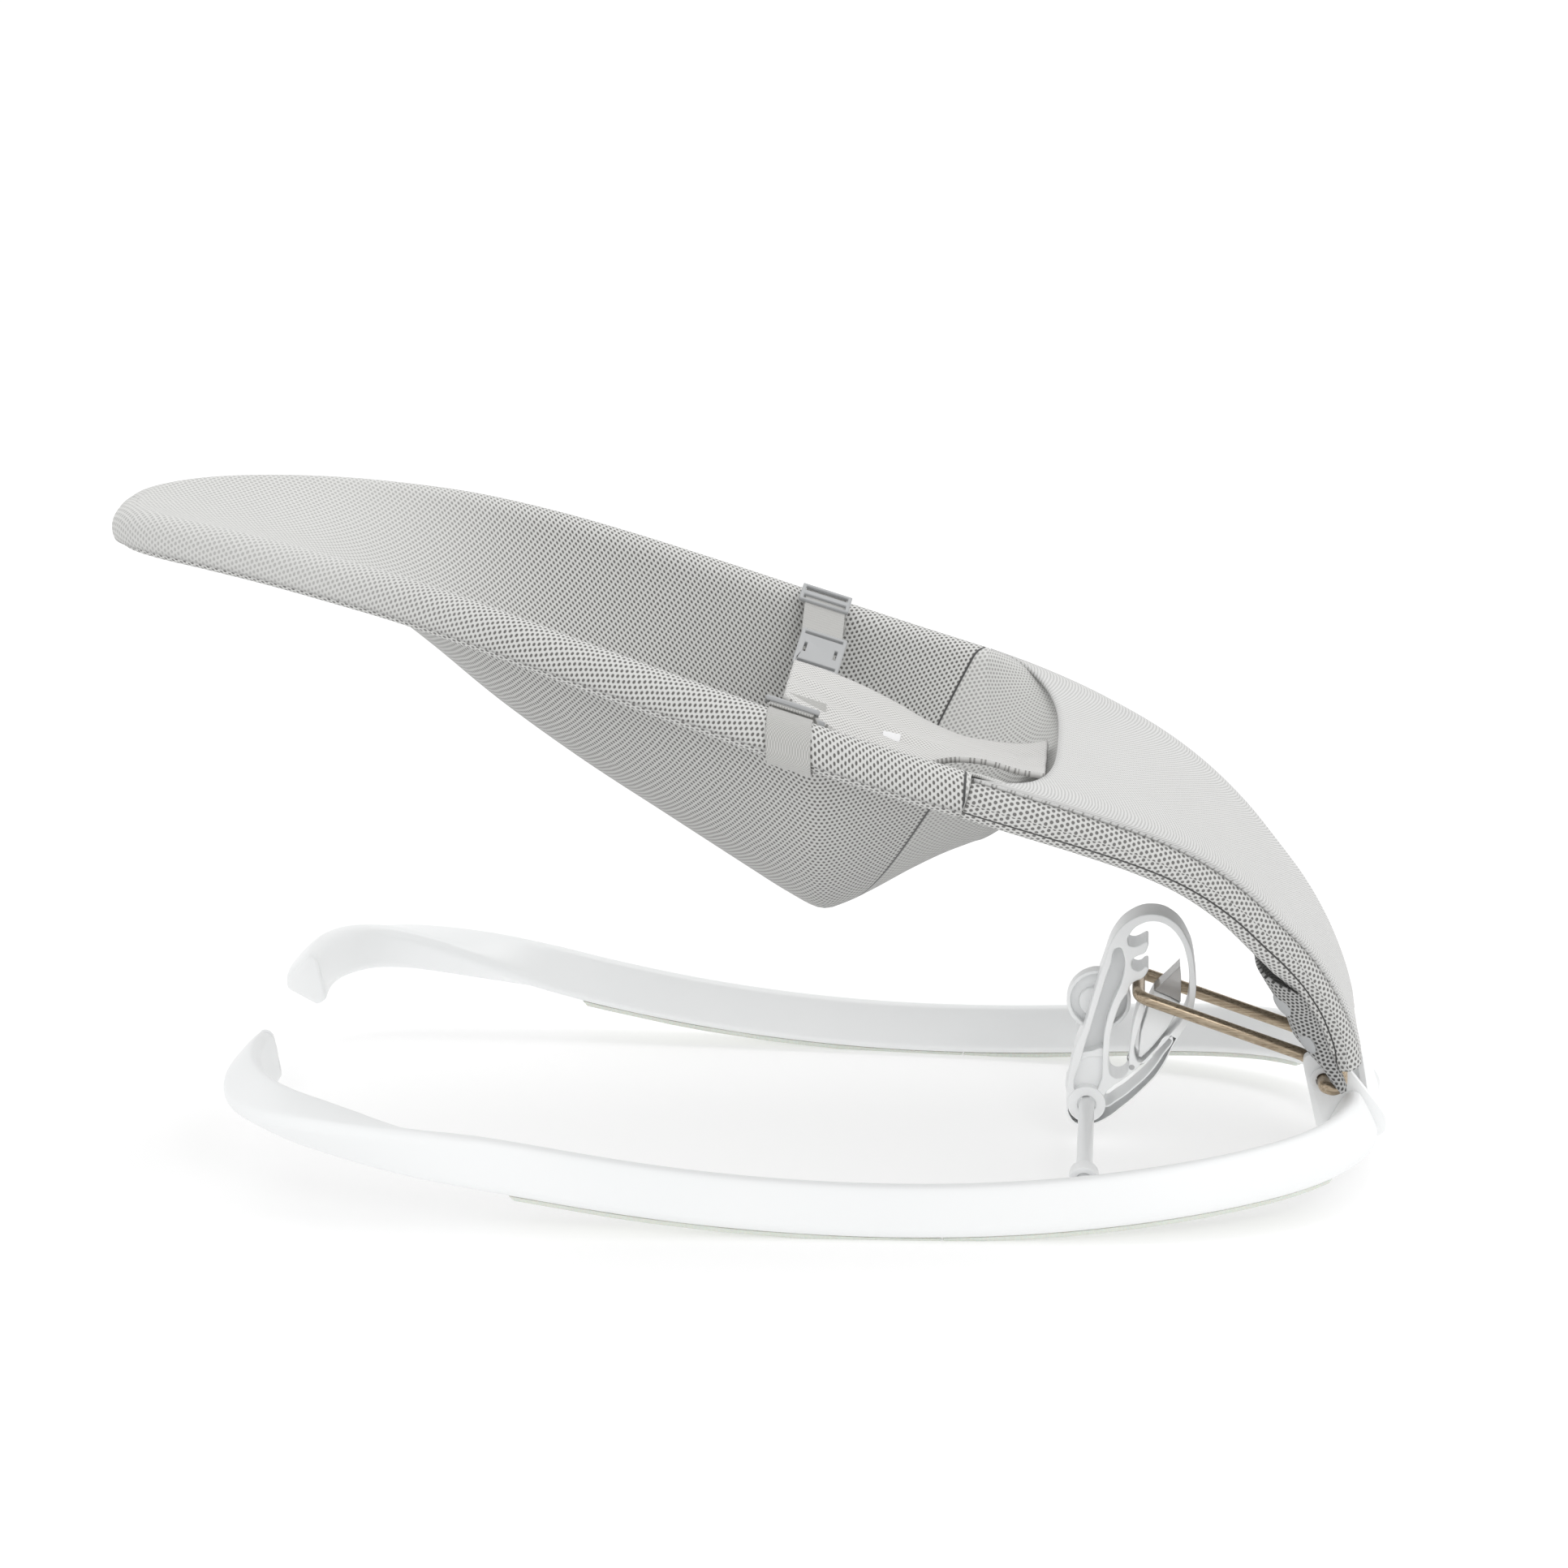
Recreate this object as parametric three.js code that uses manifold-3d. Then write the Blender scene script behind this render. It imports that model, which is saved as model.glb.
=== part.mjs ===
// Folding baby bouncer: a white moulded rocker base, a notched recline lever on a cross rod,
// and a bent steel seat frame covered with air mesh. Millimetres, +Z up, +X towards the foot end.
import * as THREE from 'three';
import { mergeVertices } from 'three/addons/utils/BufferGeometryUtils.js';
import Module from 'manifold-3d';

// ---------- driving dimensions ----------
const CENTRE_SHIFT = -2.54;                 // puts the middle of the whole length on x = 0
const GAP = 0.4;                            // running and assembly gap between pieces

const ROCKER = { radius: 1100, lowX: 102, flat: 1.6 };
const RAIL = { round: 6, halfBase: 7.5, halfRise: 8.5, strip: 4, seat: 18.5 };
const STRIP = { width: 21, start: -127, joint: 128, end: 352, jointGap: 1.2 };

const PIVOT = { x: 356.1, z: 60.9, hole: 7.4, bushOuter: 7, bushInner: 4.6, bushFlange: 8.2 };
const CHEEK = { inner: 31, outer: 38 };
const ROD = { x: 211, z: 29.6, radius: 5, halfLength: 138, socketOuter: 9, socketLength: 12 };

const LEVER = { halfDepth: 11, wall: 3.2, web: 2.4, boss: 12, bore: 5.4, earRadius: 20, earDepth: 9 };
const GATE = { halfDepth: 8.5, pinX: 238.6, pinZ: 55, pinRadius: 1.8, pinBore: 2.1, boss: 3.6 };
const WIRE = { radius: 4, armY: 23.5, barX: 241.6, barZ: 106.4, corner: 7, footY: 51.5 };

const TUBE = { radius: 7.5, bore: 5, sleeveInner: 8.7, sleeveOuter: 12.5, footZ: 76 };
const SHEET = { thick: 3.2, seamX: 137, edgeGap: 13.1, seamGap: 0.4 };
const WEBBING = { width: 25, thick: 1.8, x: 33 };

// ---------- materials ----------
const finish = (color, roughness, metalness = 0) =>
  new THREE.MeshStandardMaterial({ color, roughness, metalness });
const WHITE = () => finish(0xf1f2f2, 0.42);
const MESH = () => finish(0xc4c4c2, 0.95);
const WEB = () => finish(0xc9c9c5, 0.9);
const CLIP = () => finish(0xbfc1c2, 0.5);
const STEEL = () => finish(0x8f7f68, 0.3, 1);
const GRIP = () => finish(0xc9cfc0, 0.7);

// ---------- solid helpers ----------
const wasm = await Module();
wasm.setup();

const toSolid = (geometry) => {
  const bare = geometry.index ? geometry.toNonIndexed() : geometry.clone();
  bare.deleteAttribute('normal');
  bare.deleteAttribute('uv');
  const merged = mergeVertices(bare, 1e-4);
  return new wasm.Manifold(new wasm.Mesh({
    numProp: 3,
    vertProperties: new Float32Array(merged.attributes.position.array),
    triVerts: new Uint32Array(merged.index.array),
  }));
};

const toGeometry = (solid) => {
  const mesh = solid.getMesh();
  const geometry = new THREE.BufferGeometry();
  geometry.setAttribute('position', new THREE.BufferAttribute(new Float32Array(mesh.vertProperties), 3));
  geometry.setIndex(new THREE.BufferAttribute(new Uint32Array(mesh.triVerts), 1));
  return geometry;
};

const root = new THREE.Group();
const model = new THREE.Group();
model.position.x = CENTRE_SHIFT;
root.add(model);

const put = (name, geometry, material) => {
  const mesh = new THREE.Mesh(geometry, material);
  mesh.name = name;
  model.add(mesh);
  return mesh;
};

// A closed skin over a row of point rings; every ring has the same count, listed the same way round.
const loft = (rings) => {
  const count = rings[0].length;
  const position = rings.flat().flatMap((point) => point.toArray());
  const index = [];
  for (let i = 0; i + 1 < rings.length; i += 1) {
    for (let j = 0; j < count; j += 1) {
      const a = i * count + j;
      const b = i * count + ((j + 1) % count);
      index.push(a, b, a + count, b, b + count, a + count);
    }
  }
  const last = (rings.length - 1) * count;
  for (let j = 1; j + 1 < count; j += 1) {
    index.push(0, j + 1, j, last, last + j, last + j + 1);
  }
  const geometry = new THREE.BufferGeometry();
  geometry.setAttribute('position', new THREE.Float32BufferAttribute(position, 3));
  geometry.setIndex(index);
  const solid = toSolid(geometry);
  if (solid.volume() > 0) return geometry;
  for (let k = 0; k < index.length; k += 3) [index[k], index[k + 1]] = [index[k + 1], index[k]];
  geometry.setIndex(index);
  return geometry;
};

const vector = (x, y, z) => new THREE.Vector3(x, y, z);
const mix = THREE.MathUtils.lerp;
const rad = THREE.MathUtils.degToRad;

// A smooth value between rows of [x, value, value, ...], read at x.
const table = (rows) => (x, column = 1) => {
  const last = rows.length - 1;
  if (x <= rows[0][0]) return rows[0][column];
  if (x >= rows[last][0]) return rows[last][column];
  const i = rows.findIndex((row) => row[0] > x) - 1;
  const t = (x - rows[i][0]) / (rows[i + 1][0] - rows[i][0]);
  const before = rows[Math.max(i - 1, 0)][column];
  const after = rows[Math.min(i + 2, last)][column];
  return THREE.MathUtils.clamp(
    new THREE.CatmullRomCurve3([
      vector(before, 0, 0), vector(rows[i][column], 0, 0),
      vector(rows[i + 1][column], 0, 0), vector(after, 0, 0),
    ], false, 'catmullrom', 0.5).getPoint((1 + t) / 3).x,
    Math.min(rows[i][column], rows[i + 1][column]) - 4,
    Math.max(rows[i][column], rows[i + 1][column]) + 4,
  );
};

const cylinderY = (radius, y0, y1, x, z, sides = 24) => {
  const geometry = new THREE.CylinderGeometry(radius, radius, y1 - y0, sides);
  geometry.translate(x, (y0 + y1) / 2, z);
  return geometry;
};

// An outline in the x-z plane pulled from y0 to y1.
const plateY = (shape, y0, y1, segments = 8) => {
  const geometry = new THREE.ExtrudeGeometry(shape, {
    depth: y1 - y0, bevelEnabled: false, curveSegments: segments,
  });
  geometry.rotateX(Math.PI / 2);
  geometry.translate(0, y1, 0);
  return geometry;
};

const outline = (points) => new THREE.Shape(points.map(([x, z]) => new THREE.Vector2(x, z)));
const smoothOutline = (points, tension = 0.5, steps = 48) => {
  const curve = new THREE.CatmullRomCurve3(
    points.map(([x, z]) => vector(x, z, 0)), true, 'catmullrom', tension);
  return new THREE.Shape(curve.getPoints(steps).slice(0, -1).map((p) => new THREE.Vector2(p.x, p.y)));
};

// A straight path through the points with each corner rounded.
const roundedPath = (points, radius) => {
  const path = new THREE.CurvePath();
  let from = points[0];
  for (let i = 1; i + 1 < points.length; i += 1) {
    const corner = points[i];
    const back = from.clone().sub(corner);
    const ahead = points[i + 1].clone().sub(corner);
    const cut = Math.min(radius, back.length() * 0.49, ahead.length() * 0.49);
    const start = corner.clone().add(back.setLength(cut));
    const end = corner.clone().add(ahead.setLength(cut));
    path.add(new THREE.LineCurve3(from, start));
    path.add(new THREE.QuadraticBezierCurve3(start, corner, end));
    from = end;
  }
  path.add(new THREE.LineCurve3(from, points[points.length - 1]));
  return path;
};

const ringShape = (outer, inner, sides = 16) => {
  const circle = (radius) => Array.from({ length: sides }, (_, k) => {
    const angle = (2 * Math.PI * k) / sides;
    return new THREE.Vector2(radius * Math.cos(angle), radius * Math.sin(angle));
  });
  const shape = new THREE.Shape(circle(outer));
  if (inner) shape.holes.push(new THREE.Path(circle(inner).reverse()));
  return shape;
};

const sweep = (path, shape, steps) =>
  new THREE.ExtrudeGeometry(shape, { steps, extrudePath: path, bevelEnabled: false });

// ---------- rocker rails ----------
// Each row: x, half spacing, height, outward roll of the section, section half base, section half rise.
const RAIL_ROWS = [
  [-301, 70, 67.5, 100, 11, 6], [-303, 93, 67.5, 100, 11, 6], [-300, 120, 67, 98, 10.5, 6.2],
  [-290, 144, 66, 92, 10, 6.6], [-272, 161, 65, 82, 9, 7.2], [-250, 169, 63, 70, 8.5, 7.8],
  [-228, 172.5, 59.5, 60, 8, 8.2], [-205, 174, 55.4, 47, 7.8, 8.4], [-178, 174, 50.3, 30, 7.5, 8.5],
  [-150, 172.5, 45.2, 12, 7.5, 8.5], [-118, 170.5, 38.9, 0, 7.5, 8.5], [-60, 167, 28.8, 0, 7.5, 8.5],
  [0, 164, 21.6, 0, 7.5, 8.5], [60, 161, 17.7, 0, 7.5, 8.5], [115, 158.5, 17, 0, 7.5, 8.5],
  [170, 155, 19, 0, 7.5, 8.5], [220, 150, 23.2, 0, 7.5, 8.5], [265, 142, 28.2, 0, 7.6, 8.5],
  [305, 129.5, 33, 0, 7.8, 8.5], [335, 114, 36.5, 0, 8, 8.5], [357, 94, 39, 0, 8.4, 8.5],
  [370, 70, 40.2, 0, 8.8, 8.5], [374, 52, 40.6, 0, 9, 8.5], [374, CHEEK.outer + GAP, 40.8, 0, 9, 8.5],
];
const railCurve = new THREE.CatmullRomCurve3(RAIL_ROWS.map(([x, y, z]) => vector(x, y, z)), false, 'centripetal');
const railValue = (t, column) => {
  const at = t * (RAIL_ROWS.length - 1);
  const i = Math.min(Math.floor(at), RAIL_ROWS.length - 2);
  return mix(RAIL_ROWS[i][column], RAIL_ROWS[i + 1][column], at - i);
};

// Axes of the rail section at parameter t: outward and upward, rolled about the rail.
const railFrame = (t) => {
  const centre = railCurve.getPoint(t);
  const along = railCurve.getTangent(t);
  const out = vector(-along.y, along.x, 0).normalize();
  const up = new THREE.Vector3().crossVectors(along, out).normalize();
  if (up.z < 0) up.negate();
  const roll = rad(railValue(t, 3));
  const rolledOut = out.clone().multiplyScalar(Math.cos(roll)).addScaledVector(up, -Math.sin(roll));
  const rolledUp = up.clone().multiplyScalar(Math.cos(roll)).addScaledVector(out, Math.sin(roll));
  return { centre, rolledOut, rolledUp };
};

const railSection = (t) => {
  const { centre, rolledOut, rolledUp } = railFrame(t);
  const base = railValue(t, 4);
  const rise = railValue(t, 5);
  const corners = [[base, -rise, -95, 10], [0, rise, 35, 145], [-base, -rise, 170, 275]];
  const ring = [];
  for (const [u, v, from, to] of corners) {
    for (let k = 0; k < 5; k += 1) {
      const angle = rad(mix(from, to, k / 4));
      ring.push(centre.clone()
        .addScaledVector(rolledOut, u + RAIL.round * Math.cos(angle))
        .addScaledVector(rolledUp, v + RAIL.round * Math.sin(angle)));
    }
  }
  return ring;
};

const mirrorRings = (rings) => rings.map((ring) => ring.map((p) => vector(p.x, -p.y, p.z)));
const railRings = [];
const RAIL_STEPS = 46;
for (let i = 0; i <= RAIL_STEPS; i += 1) railRings.push(railSection(i / RAIL_STEPS));
put('left_rail', loft(railRings), WHITE());
put('right_rail', loft(mirrorRings(railRings)), WHITE());

// Push-in plugs with a shallow crowned face close the two open tips.
const CAP = { inset: 0.97, thick: 2.6, crown: 0.82 };
const capRings = [0, 1, 2].map((step) => {
  const ring = railRings[0];
  const centre = ring.reduce((sum, p) => sum.add(p), vector(0, 0, 0)).divideScalar(ring.length);
  const scale = step < 2 ? CAP.inset : CAP.crown;
  const out = GAP + CAP.thick * [0, 0.6, 1][step];
  return ring.map((p) => centre.clone().lerp(p, scale).add(vector(0, -out, 0)));
});
put('left_end_cap', loft(capRings), WHITE());
put('right_end_cap', loft(mirrorRings(capRings)), WHITE());

// Anti-slip strips under the rails; their underside is flat where the base stands.
const stripRing = (t) => {
  const { centre, rolledOut, rolledUp } = railFrame(t);
  const top = -railValue(t, 5) - RAIL.round - GAP;
  const bottomZ = Math.max(0, centre.z - RAIL.halfRise - RAIL.round - RAIL.strip);
  const half = STRIP.width / 2;
  const lower = (u) => {
    const point = centre.clone().addScaledVector(rolledOut, u);
    point.z = bottomZ;
    return point;
  };
  const upper = (u) => centre.clone().addScaledVector(rolledOut, u).addScaledVector(rolledUp, top);
  return [upper(-half), upper(half), lower(half - 1.5), lower(1.5 - half)];
};
const railParameter = (x) => {
  let low = 0.15;
  let high = 0.93;
  for (let k = 0; k < 40; k += 1) {
    const middle = (low + high) / 2;
    if (railCurve.getPoint(middle).x < x) low = middle;
    else high = middle;
  }
  return (low + high) / 2;
};
const stripRings = (x0, x1, steps) => {
  const rings = [];
  for (let i = 0; i <= steps; i += 1) {
    rings.push(stripRing(mix(railParameter(x0), railParameter(x1), i / steps)));
  }
  return rings;
};
const headStrip = stripRings(STRIP.start, STRIP.joint - STRIP.jointGap, 12);
const footStrip = stripRings(STRIP.joint, STRIP.end, 12);
put('left_grip_strip_head', loft(headStrip), GRIP());
put('right_grip_strip_head', loft(mirrorRings(headStrip)), GRIP());
put('left_grip_strip_foot', loft(footStrip), GRIP());
put('right_grip_strip_foot', loft(mirrorRings(footStrip)), GRIP());

// ---------- hinge bracket ----------
const cheekShape = smoothOutline([
  [349, 77.5], [356, 79.5], [364, 76.5], [372, 67], [383, 53.5], [392, 42], [395.4, 35.5], [394.6, 28],
  [389, 24.4], [374, 23.6], [360, 23.8], [354.4, 26], [351.4, 36], [347.2, 54], [343.6, 69.5], [344.4, 75],
], 0.35, 64);
const hoodShape = outline([
  [383.5, 53.2], [391.2, 43], [394, 35], [393.2, 29], [388.4, 25.6], [370, 25], [370, 29], [386, 29.6],
  [389.6, 31.4], [389.8, 35], [387.4, 40.6], [380.4, 50.4],
]);
const cheek = (side) => {
  const inner = side * CHEEK.inner;
  const outer = side * CHEEK.outer;
  const plate = toSolid(plateY(cheekShape, Math.min(inner, outer), Math.max(inner, outer)));
  const hole = toSolid(cylinderY(PIVOT.hole, Math.min(inner, outer) - 2, Math.max(inner, outer) + 2,
    PIVOT.x, PIVOT.z));
  return plate.subtract(hole);
};
const hood = toSolid(plateY(hoodShape, -CHEEK.inner - 1, CHEEK.inner + 1));
put('hinge_bracket', toGeometry(hood.add(cheek(1)).add(cheek(-1))), WHITE());

const bushing = (side) => {
  const flangeFrom = side * (CHEEK.outer + GAP);
  const flangeTo = side * (CHEEK.outer + GAP + 1);
  const from = side * (CHEEK.inner - 0.6);
  const body = toSolid(cylinderY(PIVOT.bushOuter, Math.min(from, flangeTo), Math.max(from, flangeTo),
    PIVOT.x, PIVOT.z));
  const flange = toSolid(cylinderY(PIVOT.bushFlange, Math.min(flangeFrom, flangeTo),
    Math.max(flangeFrom, flangeTo), PIVOT.x, PIVOT.z));
  const bore = toSolid(cylinderY(PIVOT.bushInner, -60, 60, PIVOT.x, PIVOT.z));
  return toGeometry(body.add(flange).subtract(bore));
};
put('left_pivot_bushing', bushing(1), WHITE());
put('right_pivot_bushing', bushing(-1), WHITE());

// Rail fixing screws with a cross slot, driven up into the bracket cheeks from below.
const screw = (y) => {
  const head = new THREE.CylinderGeometry(3.6, 3.6, 2.4, 16);
  head.rotateX(Math.PI / 2);
  head.translate(366, y, 21.8);
  const slot = new THREE.BoxGeometry(5, 1, 1);
  slot.translate(366, y, 20.6);
  const cross = new THREE.BoxGeometry(1, 5, 1);
  cross.translate(366, y, 20.6);
  return toGeometry(toSolid(head).subtract(toSolid(slot)).subtract(toSolid(cross)));
};
put('left_bracket_screw', screw((CHEEK.inner + CHEEK.outer) / 2), STEEL());
put('right_bracket_screw', screw(-(CHEEK.inner + CHEEK.outer) / 2), STEEL());

// ---------- cross rod and its sockets ----------
put('cross_rod', cylinderY(ROD.radius, -ROD.halfLength, ROD.halfLength, ROD.x, ROD.z, 20), WHITE());
const socketRing = ringShape(ROD.socketOuter, ROD.radius + GAP, 24);
const socket = (side) => {
  const from = side > 0 ? ROD.halfLength - ROD.socketLength + 1.2 : -ROD.halfLength - 1.2;
  const geometry = plateY(socketRing, from, from + ROD.socketLength);
  geometry.translate(ROD.x, 0, ROD.z);
  return geometry;
};
put('left_rod_socket', socket(1), WHITE());
put('right_rod_socket', socket(-1), WHITE());

// ---------- notch lever ----------
const leverOutline = smoothOutline([
  [198.6, 30], [202.6, 66], [208.4, 82], [214, 103], [219.8, 124], [226.4, 142], [236.4, 152.4],
  [249, 156.6], [261.6, 152.6], [270.8, 140.6], [275.8, 122.6], [276.6, 99], [272.6, 86], [266, 74],
  [255.2, 52], [246, 41.4], [236, 31], [220, 18.2], [212, 15.2], [204.6, 16.4], [199.8, 22],
], 0.4, 84);
// The clear window of the ring: three notches on its head side, the bar's way down past them when
// the seat is lowered, and the room of the latch gate on its foot side.
const leverWindow = outline([
  [236.4, 146.4], [243, 150.6], [250, 152.2], [258, 150.4], [266, 143.4], [270.4, 133], [272.4, 121],
  [273, 99.6], [269.6, 88], [263, 74.6], [252, 54.6], [243, 44.4], [231, 32.6], [224.4, 28.6],
  [222.6, 32.6], [222, 44], [224, 54], [224.6, 66], [225.4, 77.4], [227.8, 88], [231.4, 98.8],
  [235.2, 104.6], [236.6, 108.6], [239.4, 111.4], [241.4, 113.4], [241.4, 116.4], [238.6, 119.6],
  [237.8, 124.6], [241, 128.2], [245.6, 128.8], [246.8, 131.4],
  [245.2, 134.6], [240.4, 133.4], [236.2, 136], [235, 141],
]);
const leverPocket = outline([
  [206.4, 62], [224, 67.4], [222, 84], [225.6, 98], [231, 106], [230.4, 118], [228.6, 134], [224.4, 128],
  [218.8, 110], [212.6, 86],
]);
const footPocket = outline([
  [205.2, 46], [221, 46], [219.4, 56.6], [205.6, 56.6],
]);
const BODY = { y0: -LEVER.halfDepth, y1: LEVER.halfDepth };
// Round ear on the head side of the ring, set back in depth.
const earAt = { x: 217.5, z: 94 };
const ear = toSolid(cylinderY(LEVER.earRadius, BODY.y1 - LEVER.earDepth, BODY.y1 - 0.6, earAt.x, earAt.z, 36));
let lever = toSolid(plateY(leverOutline, BODY.y0, BODY.y1)).add(ear);
lever = lever.subtract(toSolid(plateY(leverWindow, BODY.y0 - 1, BODY.y1 + 1)));
for (const pocket of [leverPocket, footPocket]) {
  lever = lever.subtract(toSolid(plateY(pocket, BODY.y0 - 1, BODY.y1 - LEVER.web)));
}
lever = lever.add(toSolid(cylinderY(LEVER.boss, BODY.y0 - 1.5, BODY.y1 + 1.5, ROD.x, ROD.z, 32)));
lever = lever.subtract(toSolid(cylinderY(LEVER.bore, -40, 40, ROD.x, ROD.z, 32)));
// Two thin ears carry the gate's pin.
const pinEar = outline([
  [235, 55], [236.2, 58], [239.4, 58.8], [243, 56.4], [250.6, 51.4], [245, 44.6], [237, 51],
]);
const pinLug = (y0) => toSolid(plateY(pinEar, y0, y0 + 1.9));
lever = lever.add(pinLug(BODY.y0)).add(pinLug(BODY.y1 - 1.9));
lever = lever.subtract(toSolid(cylinderY(GATE.pinRadius + 0.1, -40, 40, GATE.pinX, GATE.pinZ, 16)));
put('notch_lever', toGeometry(lever), WHITE());

// ---------- latch gate ----------
const gateShape = outline([
  [268.8, 122.6], [251.2, 105.3], [247.6, 98.7], [245.8, 88], [243, 77.7], [239.6, 67], [236.4, 59],
  [238.6, 52], [243.6, 52.6], [252, 62.6], [261.6, 77], [267.8, 89], [270.6, 98.4], [270.2, 112],
]);
let gate = toSolid(plateY(gateShape, -GATE.halfDepth, GATE.halfDepth));
gate = gate.add(toSolid(cylinderY(GATE.boss, -GATE.halfDepth, GATE.halfDepth, GATE.pinX, GATE.pinZ, 20)));
gate = gate.subtract(toSolid(cylinderY(GATE.boss + 1, 4, GATE.halfDepth + 1, GATE.pinX, GATE.pinZ, 20)));
const gatePanel = outline([[265, 116.6], [253.4, 104.6], [251.6, 99.4], [266.4, 91], [267.4, 98.6]]);
gate = gate.subtract(toSolid(plateY(gatePanel, -GATE.halfDepth - 1, -GATE.halfDepth + 5)));
gate = gate.subtract(toSolid(cylinderY(GATE.pinBore, -40, 40, GATE.pinX, GATE.pinZ, 20)));
put('latch_gate', toGeometry(gate), WHITE());
put('gate_pin', cylinderY(GATE.pinRadius, BODY.y0 - 0.4, BODY.y1 + 0.4, GATE.pinX, GATE.pinZ, 16), STEEL());

// Torsion spring on the gate's pin, in the room left beside the gate's boss.
class Coil extends THREE.Curve {
  getPoint(t) {
    const angle = 2 * Math.PI * 3.5 * t;
    return vector(GATE.pinX + 2.9 * Math.cos(angle), mix(4.9, 8.2, t), GATE.pinZ + 2.9 * Math.sin(angle));
  }
}
put('gate_spring', sweep(new Coil(), ringShape(0.4, 0, 6), 44), STEEL());

// ---------- recline wire: one bent rod, from leg to leg through the pivots and round the bar ----------
const wireHalf = (side) => [
  vector(365.7, side * (WIRE.footY + 0.1), TUBE.footZ + 1), vector(366.3, side * WIRE.footY, 58.6),
  vector(PIVOT.x, side * WIRE.footY, PIVOT.z), vector(PIVOT.x, side * WIRE.armY, PIVOT.z),
  vector(345.2, side * WIRE.armY, 71), vector(WIRE.barX, side * WIRE.armY, WIRE.barZ),
];
const wirePoints = [...wireHalf(-1), ...wireHalf(1).reverse()];
put('recline_wire', sweep(roundedPath(wirePoints, WIRE.corner), ringShape(WIRE.radius, 0, 8), 120), STEEL());

// ---------- seat frame ----------
// Centre line of the frame tube, from the middle of the head end to the foot: x, half width, height.
const FRAME_ROWS = [
  [-378, 0, 391], [-373.5, 27, 391.2], [-352, 51, 391.5], [-320, 70, 390], [-280, 88, 386],
  [-240, 103, 380], [-193, 117, 371], [-144, 128, 358], [-96, 136, 343], [-47, 140.5, 327],
  [0, 143, 311.5], [47, 144.5, 296], [95, 144.5, 281], [142, 142.5, 267], [175, 138.5, 256],
  [208, 130, 243.5], [242, 117, 228], [270, 104, 211], [295, 91.5, 190], [316, 80.5, 167],
  [332, 71, 148], [345, 63.5, 128], [355, 57, 108], [362, 53, 90], [366, WIRE.footY, TUBE.footZ],
];
const HEAD_GAP = 1.8;
const frameHalf = (side) => {
  const rows = FRAME_ROWS.map(([x, y, z]) => vector(x, side * Math.max(y, HEAD_GAP), z));
  return new THREE.CatmullRomCurve3(rows, false, 'centripetal');
};
// The tubes are hollow, so the wire's ends stand in their mouths.
put('left_frame_tube', sweep(frameHalf(1), ringShape(TUBE.radius, TUBE.bore, 10), 46), STEEL());
put('right_frame_tube', sweep(frameHalf(-1), ringShape(TUBE.radius, TUBE.bore, 10), 46), STEEL());
const joinerPath = new THREE.LineCurve3(vector(-377.7, -12, 391.05), vector(-377.7, 12, 391.05));
put('head_tube_joiner', sweep(joinerPath, ringShape(3.8, 0, 12), 1), STEEL());

// ---------- edge sleeves ----------
const SEAM_T = 13.1 / (FRAME_ROWS.length - 1);
const sleevePath = (side, from, to, count) => {
  const curve = frameHalf(side);
  const points = [];
  for (let i = 0; i <= count; i += 1) points.push(curve.getPoint(mix(from, to, i / count)));
  return new THREE.CatmullRomCurve3(points, false, 'centripetal');
};
const sleeveShape = ringShape(TUBE.sleeveOuter, TUBE.sleeveInner, 12);
for (const [side, word] of [[1, 'left'], [-1, 'right']]) {
  put(`${word}_edge_sleeve`, sweep(sleevePath(side, 0, SEAM_T - 0.002, 30), sleeveShape, 30), MESH());
  put(`${word}_leg_edge_sleeve`, sweep(sleevePath(side, SEAM_T + 0.002, 0.992, 20), sleeveShape, 20), MESH());
}

// ---------- fabric seat ----------
const halfWidth = table(FRAME_ROWS);
const tubeHeight = table(FRAME_ROWS.map(([x, , z]) => [x, z]));
// Height of the sheet on the centre line, and how boxy its cross section is.
const SAG_ROWS = [
  [-364, 390, 2], [-340, 387, 2], [-300, 379, 2], [-260, 366, 2], [-225, 345, 2.1], [-190, 318, 2.3],
  [-150, 286, 2.5], [-100, 250, 2.6], [-50, 217, 2.6], [0, 186, 2.6], [25, 170, 2.6], [45, 159.5, 2.6],
  [58, 162, 2.6], [75, 176, 2.5], [100, 200, 2.5], [120, 222, 2.4], [136, 242, 2.2],
];
const sagHeight = table(SAG_ROWS);
const sagPower = table(SAG_ROWS.map(([x, , p]) => [x, p]));

// A closed thin sheet over rings of points: each ring lists its upper row, then its lower row
// turned round.
const thinSkin = (rings) => {
  const count = rings[0].length;
  const width = count / 2;
  const position = rings.flat().flatMap((point) => point.toArray());
  const index = [];
  for (let i = 0; i + 1 < rings.length; i += 1) {
    for (let j = 0; j < count; j += 1) {
      const a = i * count + j;
      const b = i * count + ((j + 1) % count);
      index.push(a, b, a + count, b, b + count, a + count);
    }
  }
  const last = (rings.length - 1) * count;
  for (let j = 0; j + 1 < width; j += 1) {
    const upperA = j;
    const upperB = j + 1;
    const lowerA = count - 1 - j;
    const lowerB = count - 2 - j;
    index.push(upperA, lowerA, upperB, upperB, lowerA, lowerB);
    index.push(last + upperA, last + upperB, last + lowerA, last + upperB, last + lowerB, last + lowerA);
  }
  const geometry = new THREE.BufferGeometry();
  geometry.setAttribute('position', new THREE.Float32BufferAttribute(position, 3));
  geometry.setIndex(index);
  if (toSolid(geometry).volume() > 0) return geometry;
  for (let k = 0; k < index.length; k += 3) [index[k], index[k + 1]] = [index[k + 1], index[k]];
  geometry.setIndex(index);
  return geometry;
};

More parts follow.
